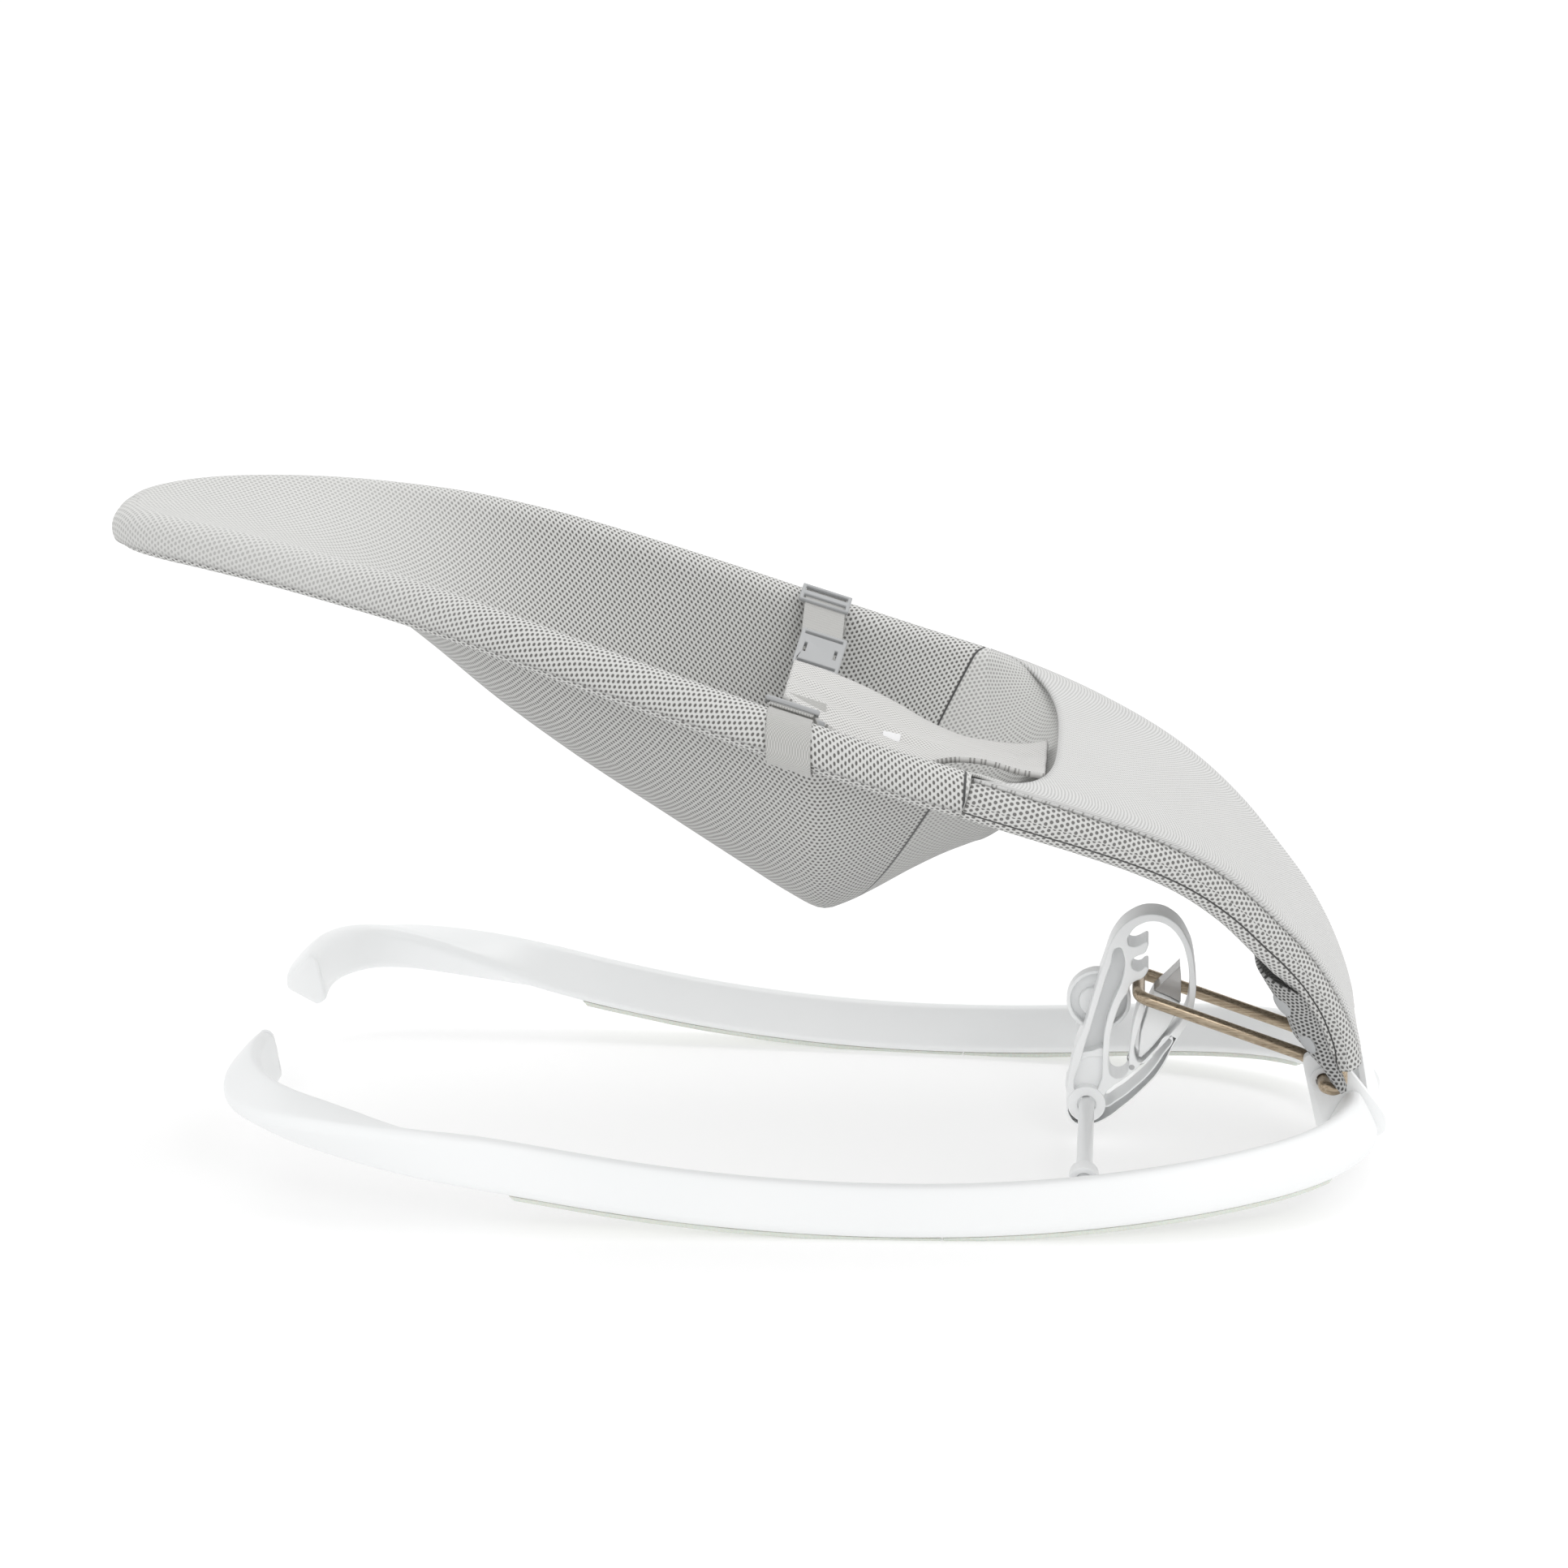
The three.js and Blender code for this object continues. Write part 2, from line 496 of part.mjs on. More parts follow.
// Half width of a sheet at x that keeps its edge clear of the tube's sleeve, seen from above.
const plan = frameHalf(1).getPoints(400);
const sheetHalf = (x) => {
  let y = halfWidth(x) - SHEET.edgeGap;
  while (y > 4 && plan.some((p) => Math.hypot(p.x - x, p.y - y) < SHEET.edgeGap)) y -= 0.5;
  return y;
};

// A sheet of even thickness over stations in x, between the two tubes.
const sheet = (stations, across, midHeight) => {
  const rings = stations.map((x) => {
    const half = sheetHalf(x);
    const upper = [];
    const lower = [];
    for (let j = 0; j <= across; j += 1) {
      const t = (2 * j) / across - 1;
      const z = midHeight(x, t);
      upper.push(vector(x, t * half, z + SHEET.thick / 2));
      lower.push(vector(x, t * half, z - SHEET.thick / 2));
    }
    return [...upper, ...lower.reverse()];
  });
  return thinSkin(rings);
};

const hammockHeight = (x, t) => {
  const edge = tubeHeight(x);
  const middle = sagHeight(x);
  return middle + (edge - middle) * Math.abs(t) ** sagPower(x);
};
const hammockStations = [
  -363, -345, -320, -290, -260, -235, -210, -180, -150, -120, -90, -60, -30, 0, 20, 36, 46, 56, 68,
  82, 96, 110, 124, SHEET.seamX - 0.4,
];
// The side loops of the harness pass through a slit at each edge of the sheet.
const slit = (side) => {
  const box = new THREE.BoxGeometry(WEBBING.width + 3, 5, 40);
  box.translate(WEBBING.x, side * 131, 300);
  return toSolid(box);
};
const hammock = toSolid(sheet(hammockStations, 16, hammockHeight));
put('seat_hammock', toGeometry(hammock.subtract(slit(1)).subtract(slit(-1))), MESH());

const legHeight = (x, t) => {
  const edge = tubeHeight(x) + 6;
  const dip = x < 200 ? 12 * (1 - (x - SHEET.seamX) / 63) : 0;
  return edge - dip * (1 - t * t);
};
const legStations = [SHEET.seamX + 0.4, 150, 165, 180, 196, 212, 228, 244, 260, 275, 290, 304, 317, 328, 338];
put('leg_panel', sheet(legStations, 12, legHeight), MESH());

// Flap that rises from the leg panel between the baby's legs; its tab takes the waist straps.
const FLAP_ROWS = [
  [178, 52], [160, 49], [141, 43], [115, 36, 273.5], [90, 32, 279], [65, 31, 285], [46, 34, 291.5],
  [24, 36, 299.5],
];
const flapRings = FLAP_ROWS.map(([x, half, z]) => {
  const top = [];
  const bottom = [];
  for (let j = 0; j <= 4; j += 1) {
    const t = j / 2 - 1;
    const onPanel = legHeight(x, (t * half) / sheetHalf(x)) + SHEET.thick + GAP;
    const middle = z ? z - 4 * t * t : onPanel;
    top.push(vector(x, t * half, middle + 1.5));
    bottom.push(vector(x, t * half, middle - 1.5));
  }
  return [...top, ...bottom.reverse()];
});
put('crotch_flap', thinSkin(flapRings), MESH());

// Small blank tag sewn to the near edge of the flap.
const tag = new THREE.BoxGeometry(11, 6, 0.8);
tag.rotateX(rad(35));
tag.rotateY(rad(11));
tag.translate(88, -36, 273.4);
put('flap_tag', tag, WEB());

// ---------- foot sleeve and its snaps ----------
const footShape = outline([
  [315.4, 138.4], [325, 123.2], [334, 107], [338, 96.4], [345.6, 87.6], [349.6, 83], [346.8, 81],
  [342.6, 85], [334.8, 93.8], [330.8, 105.2], [322, 121], [312.6, 136.4],
]);
put('foot_sleeve', plateY(footShape, -38, 38), MESH());
const snap = (x, z, lean) => {
  const geometry = new THREE.CylinderGeometry(7, 7, 1.2, 24);
  geometry.scale(1, 1, 0.55);
  geometry.rotateX(Math.PI / 2);
  geometry.rotateY(rad(lean));
  geometry.translate(x, -28, z);
  return geometry;
};
put('upper_snap', snap(330.5, 115.7, 61), CLIP());
put('lower_snap', snap(342.7, 92.8, 49.2), CLIP());

// ---------- waist webbing, sliders and buckles ----------
const loopRing = (outer, inner) => {
  const geometry = new THREE.ExtrudeGeometry(ringShape(outer, inner, 24), {
    depth: WEBBING.width, bevelEnabled: false,
  });
  geometry.rotateY(Math.PI / 2);
  geometry.translate(-WEBBING.width / 2, 0, 0);
  return geometry;
};
const FRAME_SLOPE = Math.atan2(311.5 - 296, 47);
// A flat plate with rectangular slots cut through: each slot is [x, y, width, height].
const slottedPlate = (width, height, thick, slots) => {
  let plate = toSolid(new THREE.BoxGeometry(width, height, thick));
  for (const [x, y, w, h] of slots) {
    const slot = new THREE.BoxGeometry(w, h, thick + 2);
    slot.translate(x, y, 0);
    plate = plate.subtract(toSolid(slot));
  }
  return toGeometry(plate);
};
for (const [side, word] of [[1, 'left'], [-1, 'right']]) {
  const loop = loopRing(TUBE.sleeveOuter + 2.4, TUBE.sleeveOuter + 0.5);
  loop.rotateY(FRAME_SLOPE);
  loop.translate(WEBBING.x, side * 144.1, 300.6);
  put(`${word}_frame_loop`, loop, WEB());

  // One length of webbing runs from slider to buckle, another from buckle to the flap.
  const lengths = [['waist_strap', 102.9, 20.4, 308.2], ['flap_strap', 47.2, 20, 306.6]];
  for (const [kind, y, length, z] of lengths) {
    const webbing = new THREE.BoxGeometry(WEBBING.width, length, WEBBING.thick);
    webbing.rotateY(FRAME_SLOPE);
    webbing.translate(WEBBING.x, side * y, z);
    put(`${word}_${kind}`, webbing, WEB());
  }

  const slider = slottedPlate(32, 16, 2.6, [[0, 3.4, 26, 3.8], [0, -3.4, 26, 3.8]]);
  slider.rotateX(side > 0 ? rad(10) : rad(-10));
  slider.rotateY(FRAME_SLOPE);
  slider.translate(WEBBING.x + 1, side * 122, 309);
  put(`${word}_slider`, slider, CLIP());

  const buckle = slottedPlate(26, 34, 3.4, [[0, 12, 16, 2.6], [0, -12, 16, 2.6]]);
  buckle.rotateY(FRAME_SLOPE);
  buckle.translate(WEBBING.x + 1, side * 75, 307.6);
  put(`${word}_buckle`, buckle, CLIP());
}

export default root;
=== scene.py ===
import math

import bpy
import numpy as np
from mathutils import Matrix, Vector


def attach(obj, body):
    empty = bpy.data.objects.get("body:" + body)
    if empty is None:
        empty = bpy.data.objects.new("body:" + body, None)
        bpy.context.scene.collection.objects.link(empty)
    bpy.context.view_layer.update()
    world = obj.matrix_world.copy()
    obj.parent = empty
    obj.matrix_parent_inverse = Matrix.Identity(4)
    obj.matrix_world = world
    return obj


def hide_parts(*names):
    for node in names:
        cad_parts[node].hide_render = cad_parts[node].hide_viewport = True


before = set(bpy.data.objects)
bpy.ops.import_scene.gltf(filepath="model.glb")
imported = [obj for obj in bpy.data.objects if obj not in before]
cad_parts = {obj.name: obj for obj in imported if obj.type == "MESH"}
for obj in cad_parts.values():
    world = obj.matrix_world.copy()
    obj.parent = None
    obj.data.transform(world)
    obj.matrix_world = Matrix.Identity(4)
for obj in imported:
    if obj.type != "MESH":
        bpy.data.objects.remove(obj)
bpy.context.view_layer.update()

# Studio. A seamless pale floor under a bright, even tent of light, with one broad soft light
# from the head end above, and the camera low on the occupant's right.
scene = bpy.context.scene
scene.view_settings.view_transform = "Standard"
scene.view_settings.look = "None"

MM = 0.001
CENTRE_SHIFT = -2.54


def at(x, y, z):
    """A point of the seat in metres, from millimetres measured before the part is centred."""
    return Vector(((x + CENTRE_SHIFT) * MM, y * MM, z * MM))


camera_data = bpy.data.cameras.new("camera")
camera_data.lens = 92.25
camera_data.sensor_width = 36.0
camera_data.clip_end = 100.0
camera = bpy.data.objects.new("camera", camera_data)
camera.location = at(222.0, -2375.0, 943.3)
camera.rotation_euler = (math.radians(90 - 16.64), 0.0, math.radians(4.87))
scene.collection.objects.link(camera)
scene.camera = camera

world = bpy.data.worlds.new("tent")
world.use_nodes = True
world.node_tree.nodes["Background"].inputs["Color"].default_value = (1.0, 1.0, 1.0, 1.0)
world.node_tree.nodes["Background"].inputs["Strength"].default_value = 1.0
scene.world = world


def soft_light(name, place, aim, size, watts):
    data = bpy.data.lights.new(name, "AREA")
    data.shape = "DISK"
    data.size = size
    data.energy = watts
    light = bpy.data.objects.new(name, data)
    light.location = place
    light.rotation_euler = (Vector(aim) - Vector(place)).to_track_quat("-Z", "Y").to_euler()
    scene.collection.objects.link(light)


soft_light("overhead", (0.35, 0.5, 2.6), (0.0, 0.0, 0.1), 1.3, 13.0)
soft_light("front", (1.2, -2.2, 1.9), (0.05, 0.0, 0.15), 1.0, 8.0)


class Term:
    """A value inside a material, so that shader sums read as ordinary sums."""

    def __init__(self, tree, socket):
        self.tree = tree
        self.socket = socket

    def math(self, operation, *others):
        node = self.tree.nodes.new("ShaderNodeMath")
        node.operation = operation
        for slot, term in zip(node.inputs, (self,) + others):
            if isinstance(term, Term):
                self.tree.links.new(term.socket, slot)
            else:
                slot.default_value = term
        return Term(self.tree, node.outputs[0])

    def __add__(self, other):
        return self.math("ADD", other)

    def __radd__(self, other):
        return self.math("ADD", other)

    def __sub__(self, other):
        return self.math("SUBTRACT", other)

    def __mul__(self, other):
        return self.math("MULTIPLY", other)

    def __rmul__(self, other):
        return self.math("MULTIPLY", other)

    def __truediv__(self, other):
        return self.math("DIVIDE", other)

    def step(self, low, high):
        """0 below low, 1 above high, and smooth between."""
        node = self.tree.nodes.new("ShaderNodeMapRange")
        node.interpolation_type = "SMOOTHSTEP"
        self.tree.links.new(self.socket, node.inputs["Value"])
        node.inputs["From Min"].default_value = low
        node.inputs["From Max"].default_value = high
        return Term(self.tree, node.outputs["Result"])


class Finish:
    """A material with its nodes at hand."""

    def __init__(self, name, roughness, metallic=0.0, **settings):
        self.material = bpy.data.materials.new(name)
        self.material.use_nodes = True
        self.tree = self.material.node_tree
        self.shader = self.tree.nodes["Principled BSDF"]
        self.shader.inputs["Roughness"].default_value = roughness
        self.shader.inputs["Metallic"].default_value = metallic
        for label, value in settings.items():
            self.shader.inputs[label.replace("_", " ")].default_value = value

    def node(self, kind, settings, sockets):
        """One node: its settings first, then the values or links of its sockets."""
        node = self.tree.nodes.new(kind)
        for label, value in settings.items():
            setattr(node, label, value)
        for label, value in sockets.items():
            if isinstance(value, Term):
                self.tree.links.new(value.socket, node.inputs[label])
            else:
                node.inputs[label].default_value = value
        return node

    def out(self, node, label):
        return Term(self.tree, node.outputs[label])

    def place(self, kind="Object"):
        return self.out(self.node("ShaderNodeTexCoord", {}, {}), kind)

    def split(self, vector):
        node = self.node("ShaderNodeSeparateXYZ", {}, {"Vector": vector})
        return [self.out(node, label) for label in "XYZ"]

    def noise(self, scale, detail=2.0, vector=None):
        sockets = {"Scale": scale, "Detail": detail, "Vector": vector or self.place()}
        return self.out(self.node("ShaderNodeTexNoise", {}, sockets), "Fac")

    def blend(self, amount, low, high):
        """A colour between two others; each is three numbers or a term."""
        node = self.node("ShaderNodeMix", {"data_type": "RGBA"}, {})
        self.link(amount, node.inputs[0])
        for colour, slot in ((low, node.inputs[6]), (high, node.inputs[7])):
            self.link(colour if isinstance(colour, Term) else (*colour, 1.0), slot)
        return Term(self.tree, node.outputs[2])

    def link(self, value, slot):
        if isinstance(value, Term):
            self.tree.links.new(value.socket, slot)
        else:
            slot.default_value = value

    def colour(self, value):
        self.link(value if isinstance(value, Term) else (*value, 1.0), self.shader.inputs["Base Color"])

    def roughness(self, value):
        self.link(value, self.shader.inputs["Roughness"])

    def relief(self, height, depth, strength=1.0):
        bump = self.node("ShaderNodeBump", {}, {"Height": height, "Distance": depth, "Strength": strength})
        self.link(self.out(bump, "Normal"), self.shader.inputs["Normal"])

    def on(self, *pieces):
        for piece in pieces:
            piece.data.materials.clear()
            piece.data.materials.append(self.material)


floor_finish = Finish("floor_paper", 0.9, Emission_Color=(1.0, 1.0, 1.0, 1.0), Emission_Strength=0.45)
floor_finish.colour(floor_finish.blend(floor_finish.noise(3.0), (0.55, 0.55, 0.55), (0.58, 0.58, 0.58)))
bpy.ops.mesh.primitive_plane_add(size=40.0, location=(0.0, 0.0, -0.0002))
studio_floor = bpy.context.object
studio_floor.name = "studio_floor"
floor_finish.on(studio_floor)


# Rocker rails. Two bowed white rails moulded in a rounded three-cornered section that turns over
# at the open ends, each end closed by a push-in plug.
def alone(piece):
    bpy.ops.object.select_all(action="DESELECT")
    piece.select_set(True)
    bpy.context.view_layer.objects.active = piece


def apply_modifiers(piece):
    alone(piece)
    for modifier in list(piece.modifiers):
        bpy.ops.object.modifier_apply(modifier=modifier.name)


def copy_of(node, name):
    """A merged copy of a moulding, ready for finer work."""
    piece = bpy.data.objects.new(name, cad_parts[node].data.copy())
    scene.collection.objects.link(piece)
    alone(piece)
    bpy.ops.object.mode_set(mode="EDIT")
    bpy.ops.mesh.select_all(action="SELECT")
    bpy.ops.mesh.remove_doubles(threshold=0.00001)
    bpy.ops.object.mode_set(mode="OBJECT")
    return piece


def flowing(node, name, levels, swell=0.0):
    """A copy with its facets smoothed into one flowing surface."""
    piece = copy_of(node, name)
    bpy.ops.object.mode_set(mode="EDIT")
    bpy.ops.mesh.tris_convert_to_quads(face_threshold=math.radians(60), shape_threshold=math.radians(60))
    if swell:
        bpy.ops.transform.shrink_fatten(value=swell)
    bpy.ops.object.mode_set(mode="OBJECT")
    smoother = piece.modifiers.new("smooth", "SUBSURF")
    smoother.levels = smoother.render_levels = levels
    apply_modifiers(piece)
    bpy.ops.object.shade_smooth()
    return piece


def eased(node, name, width, angle=30.0):
    """A copy with its edges eased to a small round."""
    piece = copy_of(node, name)
    bpy.ops.object.mode_set(mode="EDIT")
    bpy.ops.mesh.dissolve_limited(angle_limit=math.radians(1.5))
    bpy.ops.object.mode_set(mode="OBJECT")
    bevel = piece.modifiers.new("ease", "BEVEL")
    bevel.width = width
    bevel.segments = 3
    bevel.angle_limit = math.radians(angle)
    bevel.use_clamp_overlap = True
    apply_modifiers(piece)
    bpy.ops.object.shade_smooth_by_angle(angle=math.radians(40))
    return piece


def fix(piece, body, slot, *nodes):
    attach(piece, body)
    if nodes:
        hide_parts(*nodes)


shell_white = Finish("moulded_white", 0.4, Coat_Weight=0.12, Coat_Roughness=0.3)
shell_white.colour(shell_white.blend(shell_white.noise(9.0), (0.84, 0.855, 0.86), (0.88, 0.885, 0.885)))
shell_white.roughness(0.34 + 0.14 * shell_white.noise(60.0, 4.0))
shell_white.relief(shell_white.noise(900.0, 3.0), 0.00003, 0.5)

for side in ("left", "right"):
    rail = flowing(side + "_rail", side + "_rocker_rail", 2, swell=0.0009)
    shell_white.on(rail)
    fix(rail, "base", "white_plastic", side + "_rail")
    plug = eased(side + "_end_cap", side + "_rail_plug", 0.0009)
    shell_white.on(plug)
    fix(plug, "base", "white_plastic", side + "_end_cap")

# Anti-slip strips. Pale translucent rubber welded under the rails in two lengths each, with fine
# cross ribs so that the rocker doesn't creep over a hard floor.
strip_rubber = Finish("grip_rubber", 0.55, Subsurface_Weight=0.1)
strip_x, _, _ = strip_rubber.split(strip_rubber.place())
strip_ribs = (strip_x * 2400.0).math("SINE")
strip_rubber.colour(strip_rubber.blend(strip_rubber.noise(40.0), (0.66, 0.69, 0.62), (0.74, 0.76, 0.70)))
strip_rubber.relief(strip_ribs, 0.0002, 0.6)
for side in ("left", "right"):
    for end in ("head", "foot"):
        strip = eased(f"{side}_grip_strip_{end}", f"{side}_anti_slip_{end}", 0.0008)
        strip_rubber.on(strip)
        fix(strip, "base", "grip_rubber", f"{side}_grip_strip_{end}")

# Hinge bracket at the foot. Two cheeks joined by a hood, moulded in white, with a flanged bushing
# in each cheek and one screw from below on each side.
bracket = eased("hinge_bracket", "foot_bracket", 0.0016, 25.0)
shell_white.on(bracket)
fix(bracket, "base", "white_plastic", "hinge_bracket")

bushing_white = Finish("bushing_white", 0.3)
bushing_white.colour(bushing_white.blend(bushing_white.noise(30.0), (0.76, 0.77, 0.78), (0.82, 0.82, 0.82)))
bushing_white.relief(bushing_white.noise(1400.0), 0.00002, 0.4)
screw_steel = Finish("screw_steel", 0.32, 1.0)
screw_steel.colour(screw_steel.blend(screw_steel.noise(400.0), (0.45, 0.45, 0.46), (0.62, 0.62, 0.62)))
screw_steel.relief(screw_steel.noise(2500.0), 0.00003, 0.5)
for side in ("left", "right"):
    collar = eased(side + "_pivot_bushing", side + "_bushing", 0.0006)
    bushing_white.on(collar)
    fix(collar, "base", "white_plastic", side + "_pivot_bushing")
    screw = eased(side + "_bracket_screw", side + "_screw", 0.0003)
    screw_steel.on(screw)
    fix(screw, "base", "screw_steel", side + "_bracket_screw")

# Cross rod. White lacquered steel between the rails, its ends pressed into moulded sockets.
lacquer = Finish("rod_lacquer", 0.28, Coat_Weight=0.3, Coat_Roughness=0.15)
lacquer.colour(lacquer.blend(lacquer.noise(14.0), (0.78, 0.79, 0.80), (0.82, 0.83, 0.83)))
lacquer.relief(lacquer.noise(500.0), 0.00003, 0.35)
rod = eased("cross_rod", "lever_rod", 0.0009)
lacquer.on(rod)
fix(rod, "base", "white_rod", "cross_rod")
for side in ("left", "right"):
    socket = eased(side + "_rod_socket", side + "_socket", 0.0012)
    shell_white.on(socket)
    fix(socket, "base", "white_plastic", side + "_rod_socket")


# Notch lever. A moulded ring on a hollow stem: three notches on the head side hold the recline bar,
# a finger loop runs down the foot side, and a round ear stands on the far face.
def moulded_plate(name, outlines, y_low, y_high, round_edge, sharp=()):
    """A flat moulding between two depths, from an outline and the holes in it."""
    curve = bpy.data.curves.new(name, "CURVE")
    curve.dimensions = "2D"
    curve.fill_mode = "BOTH"
    curve.resolution_u = 5
    for number, points in enumerate(outlines):
        spline = curve.splines.new("BEZIER")
        spline.bezier_points.add(len(points) - 1)
        spline.use_cyclic_u = True
        for knot, (x, z) in zip(spline.bezier_points, points):
            knot.co = ((x + CENTRE_SHIFT) * MM, z * MM, 0.0)
            kind = "VECTOR" if number in sharp else "AUTO"
            knot.handle_left_type = kind
            knot.handle_right_type = kind
    curve.extrude = (y_high - y_low) * MM / 2 - round_edge * MM
    curve.bevel_depth = round_edge * MM
    curve.bevel_resolution = 2
    curve.offset = -round_edge * MM
    piece = bpy.data.objects.new(name, curve)
    scene.collection.objects.link(piece)
    piece.rotation_euler = (math.radians(90), 0.0, 0.0)
    piece.location = (0.0, (y_low + y_high) * MM / 2, 0.0)
    alone(piece)
    bpy.ops.object.convert(target="MESH")
    bpy.ops.object.transform_apply(location=True, rotation=True, scale=True)
    bpy.ops.object.mode_set(mode="EDIT")
    bpy.ops.mesh.select_all(action="SELECT")
    bpy.ops.mesh.remove_doubles(threshold=0.00001)
    bpy.ops.mesh.normals_make_consistent(inside=False)
    bpy.ops.object.mode_set(mode="OBJECT")
    bpy.ops.object.shade_smooth_by_angle(angle=math.radians(38))
    weight = piece.modifiers.new("weight", "WEIGHTED_NORMAL")
    weight.keep_sharp = True
    apply_modifiers(piece)
    return piece


def joined(name, *parts):
    bpy.ops.object.select_all(action="DESELECT")
    for part in parts:
        part.select_set(True)
    bpy.context.view_layer.objects.active = parts[0]
    bpy.ops.object.join()
    parts[0].name = name
    return parts[0]


def circle(centre, radius, count=16):
    """Points of an outline round a centre."""
    turns = np.linspace(0, 2 * math.pi, count + 1)[:-1]
    return [(centre[0] + radius * math.cos(a), centre[1] + radius * math.sin(a)) for a in turns]


LEVER_PIVOT = (211, 29.6)
EAR_CENTRE = (217, 94)
LEVER_OUTLINE = [
    (198.4, 27.6), (202.7, 65.1), (208.5, 81.0), (214.0, 103.0), (219.6, 123.5), (226.0, 141.5),
    (236.0, 152.2), (248.8, 156.2), (261.4, 152.3), (271.0, 140.0), (275.8, 122.5), (276.4, 99.0),
    (272.6, 85.6), (266.4, 74.7), (255.1, 51.5), (246.0, 40.5), (236.6, 31.0), (219.0, 17.4),
    (211.0, 15.4), (204.6, 16.0), (199.6, 21.7),
]
UPPER_WINDOW = [
    (234.4, 136.2), (236.0, 143.8), (242.0, 149.2), (249.5, 151.2), (257.5, 149.2), (265.8, 141.0),
    (270.6, 129.0), (272.6, 115.0), (272.4, 99.0), (269.0, 87.6), (262.6, 78.6), (252.0, 66.0),
    (243.6, 58.4), (240.4, 62.6), (241.4, 76.0), (244.8, 90.0), (245.4, 96.0), (243.4, 97.6),
    (241.4, 93.6), (239.0, 84.0), (237.6, 74.0), (236.8, 62.0), (236.0, 52.0), (231.6, 47.6),
    (226.4, 48.6), (224.2, 55.0), (224.4, 66.0), (225.2, 77.4), (227.6, 88.0), (231.2, 98.4),
    (234.8, 104.4), (236.6, 109.2), (239.4, 111.8), (243.4, 113.6), (246.4, 117.4),
    (247.0, 121.6), (245.2, 121.4), (242.6, 119.2), (239.0, 119.2), (236.8, 121.8), (237.4, 126.0),
    (240.8, 128.6), (244.4, 130.2), (246.4, 134.0), (246.4, 138.0), (244.0, 137.2), (241.0, 135.4),
    (237.4, 134.6),
]
FINGER_WINDOW = [
    (221.6, 29.4), (222.0, 35.6), (226.6, 41.4), (234.0, 47.0), (243.8, 56.0), (254.0, 67.4),
    (260.6, 76.0), (262.6, 75.4), (257.4, 64.6), (249.0, 51.6), (240.4, 42.4), (229.6, 33.2),
]
STEM_POCKET = [
    (205.0, 36.0), (207.2, 60.0), (212.8, 82.0), (218.6, 104.0), (223.8, 122.0), (228.6, 133.6),
    (231.8, 129.0), (232.6, 120.0), (230.6, 110.0), (226.4, 99.0), (223.0, 88.0), (221.0, 77.0),
    (220.4, 66.0), (220.4, 55.0), (219.4, 44.0), (213.0, 35.0),
]
wall = moulded_plate("lever_wall", [LEVER_OUTLINE, UPPER_WINDOW, FINGER_WINDOW, STEM_POCKET], -11, 11, 0.9)
floor_of_pocket = moulded_plate("lever_floor", [[
    (201.5, 33.0), (204.6, 62.0), (210.4, 82.0), (216.4, 104.0), (221.6, 122.0), (227.2, 137.0),
    (233.4, 131.0), (234.2, 120.0), (232.2, 110.0), (228.0, 99.0), (224.6, 88.0), (222.6, 77.0),
    (222.0, 66.0), (222.0, 55.0), (221.0, 42.0), (213.0, 32.0),
]], 1.5, 4.0, 0.5)
step_ridge = moulded_plate("lever_ridge", [[
    (203.5, 60.4), (213.0, 63.6), (222.0, 65.2), (222.0, 61.6), (212.0, 59.6), (203.4, 57.4),
]], -7.5, 2.5, 0.8)
lower_stem = moulded_plate("lever_stem", [[
    (202.4, 28.0), (204.4, 58.0), (213.0, 60.4), (222.0, 62.0), (222.0, 50.0), (219.6, 38.0),
    (210.0, 29.0),
]], -6.0, 2.5, 1.6)
boss_rings = [circle(LEVER_PIVOT, 11.9), circle(LEVER_PIVOT, 5.7)]
boss = moulded_plate("lever_boss", boss_rings, -12.0, 12.0, 0.8)
# The ear is a shallow round cup behind the stem.
ear_rim = moulded_plate("lever_ear", [circle(EAR_CENTRE, 20), circle(EAR_CENTRE, 17.6)], 2.0, 11.0, 0.7)
ear_floor = moulded_plate("lever_ear_floor", [circle(EAR_CENTRE, 18.2)], 7.6, 9.8, 0.4)
ear_hub = moulded_plate("lever_ear_hub", [circle((214, 92), 9.5, 12)], 4.6, 9.0, 1.4)
lever = joined("recline_lever", wall, floor_of_pocket, step_ridge, lower_stem, boss,
               ear_rim, ear_floor, ear_hub)
shell_white.on(lever)
fix(lever, "lever", "white_plastic", "notch_lever")

# Latch gate. A wedge that closes the ring under the bar, sprung on a pin in the stem; its upper
# corner is a clear smoky window moulded in a second material.
gate_body = moulded_plate("gate_wedge", [[
    (251.2, 105.0), (248.3, 98.7), (246.8, 90.0), (243.6, 77.7), (242.6, 66.0), (242.6, 61.0),
    (244.6, 60.6), (251.4, 68.0), (259.6, 79.4), (264.8, 88.9), (267.4, 97.0), (260.6, 101.0),
]], -8.5, 8.5, 1.3, sharp=(0,))
shell_white.on(gate_body)
fix(gate_body, "gate", "white_plastic", "latch_gate")
smoky = Finish("smoky_clear", 0.12, Transmission_Weight=0.35, IOR=1.49)
smoky.colour(smoky.blend(smoky.noise(120.0), (0.52, 0.51, 0.50), (0.62, 0.61, 0.60)))
smoky.relief(smoky.noise(300.0), 0.00003, 0.3)
gate_window = moulded_plate("gate_window", [[
    (251.4, 105.4), (260.0, 114.2), (266.8, 121.6), (267.8, 112.0), (267.8, 98.0), (260.8, 101.6),
]], -8.0, 8.0, 0.6, sharp=(0,))
smoky.on(gate_window)
fix(gate_window, "gate", "grey_plastic")
gate_pin = eased("gate_pin", "gate_pin_steel", 0.0004)
screw_steel.on(gate_pin)
fix(gate_pin, "lever", "screw_steel", "gate_pin")
spring = flowing("gate_spring", "gate_coil", 1)
screw_steel.on(spring)
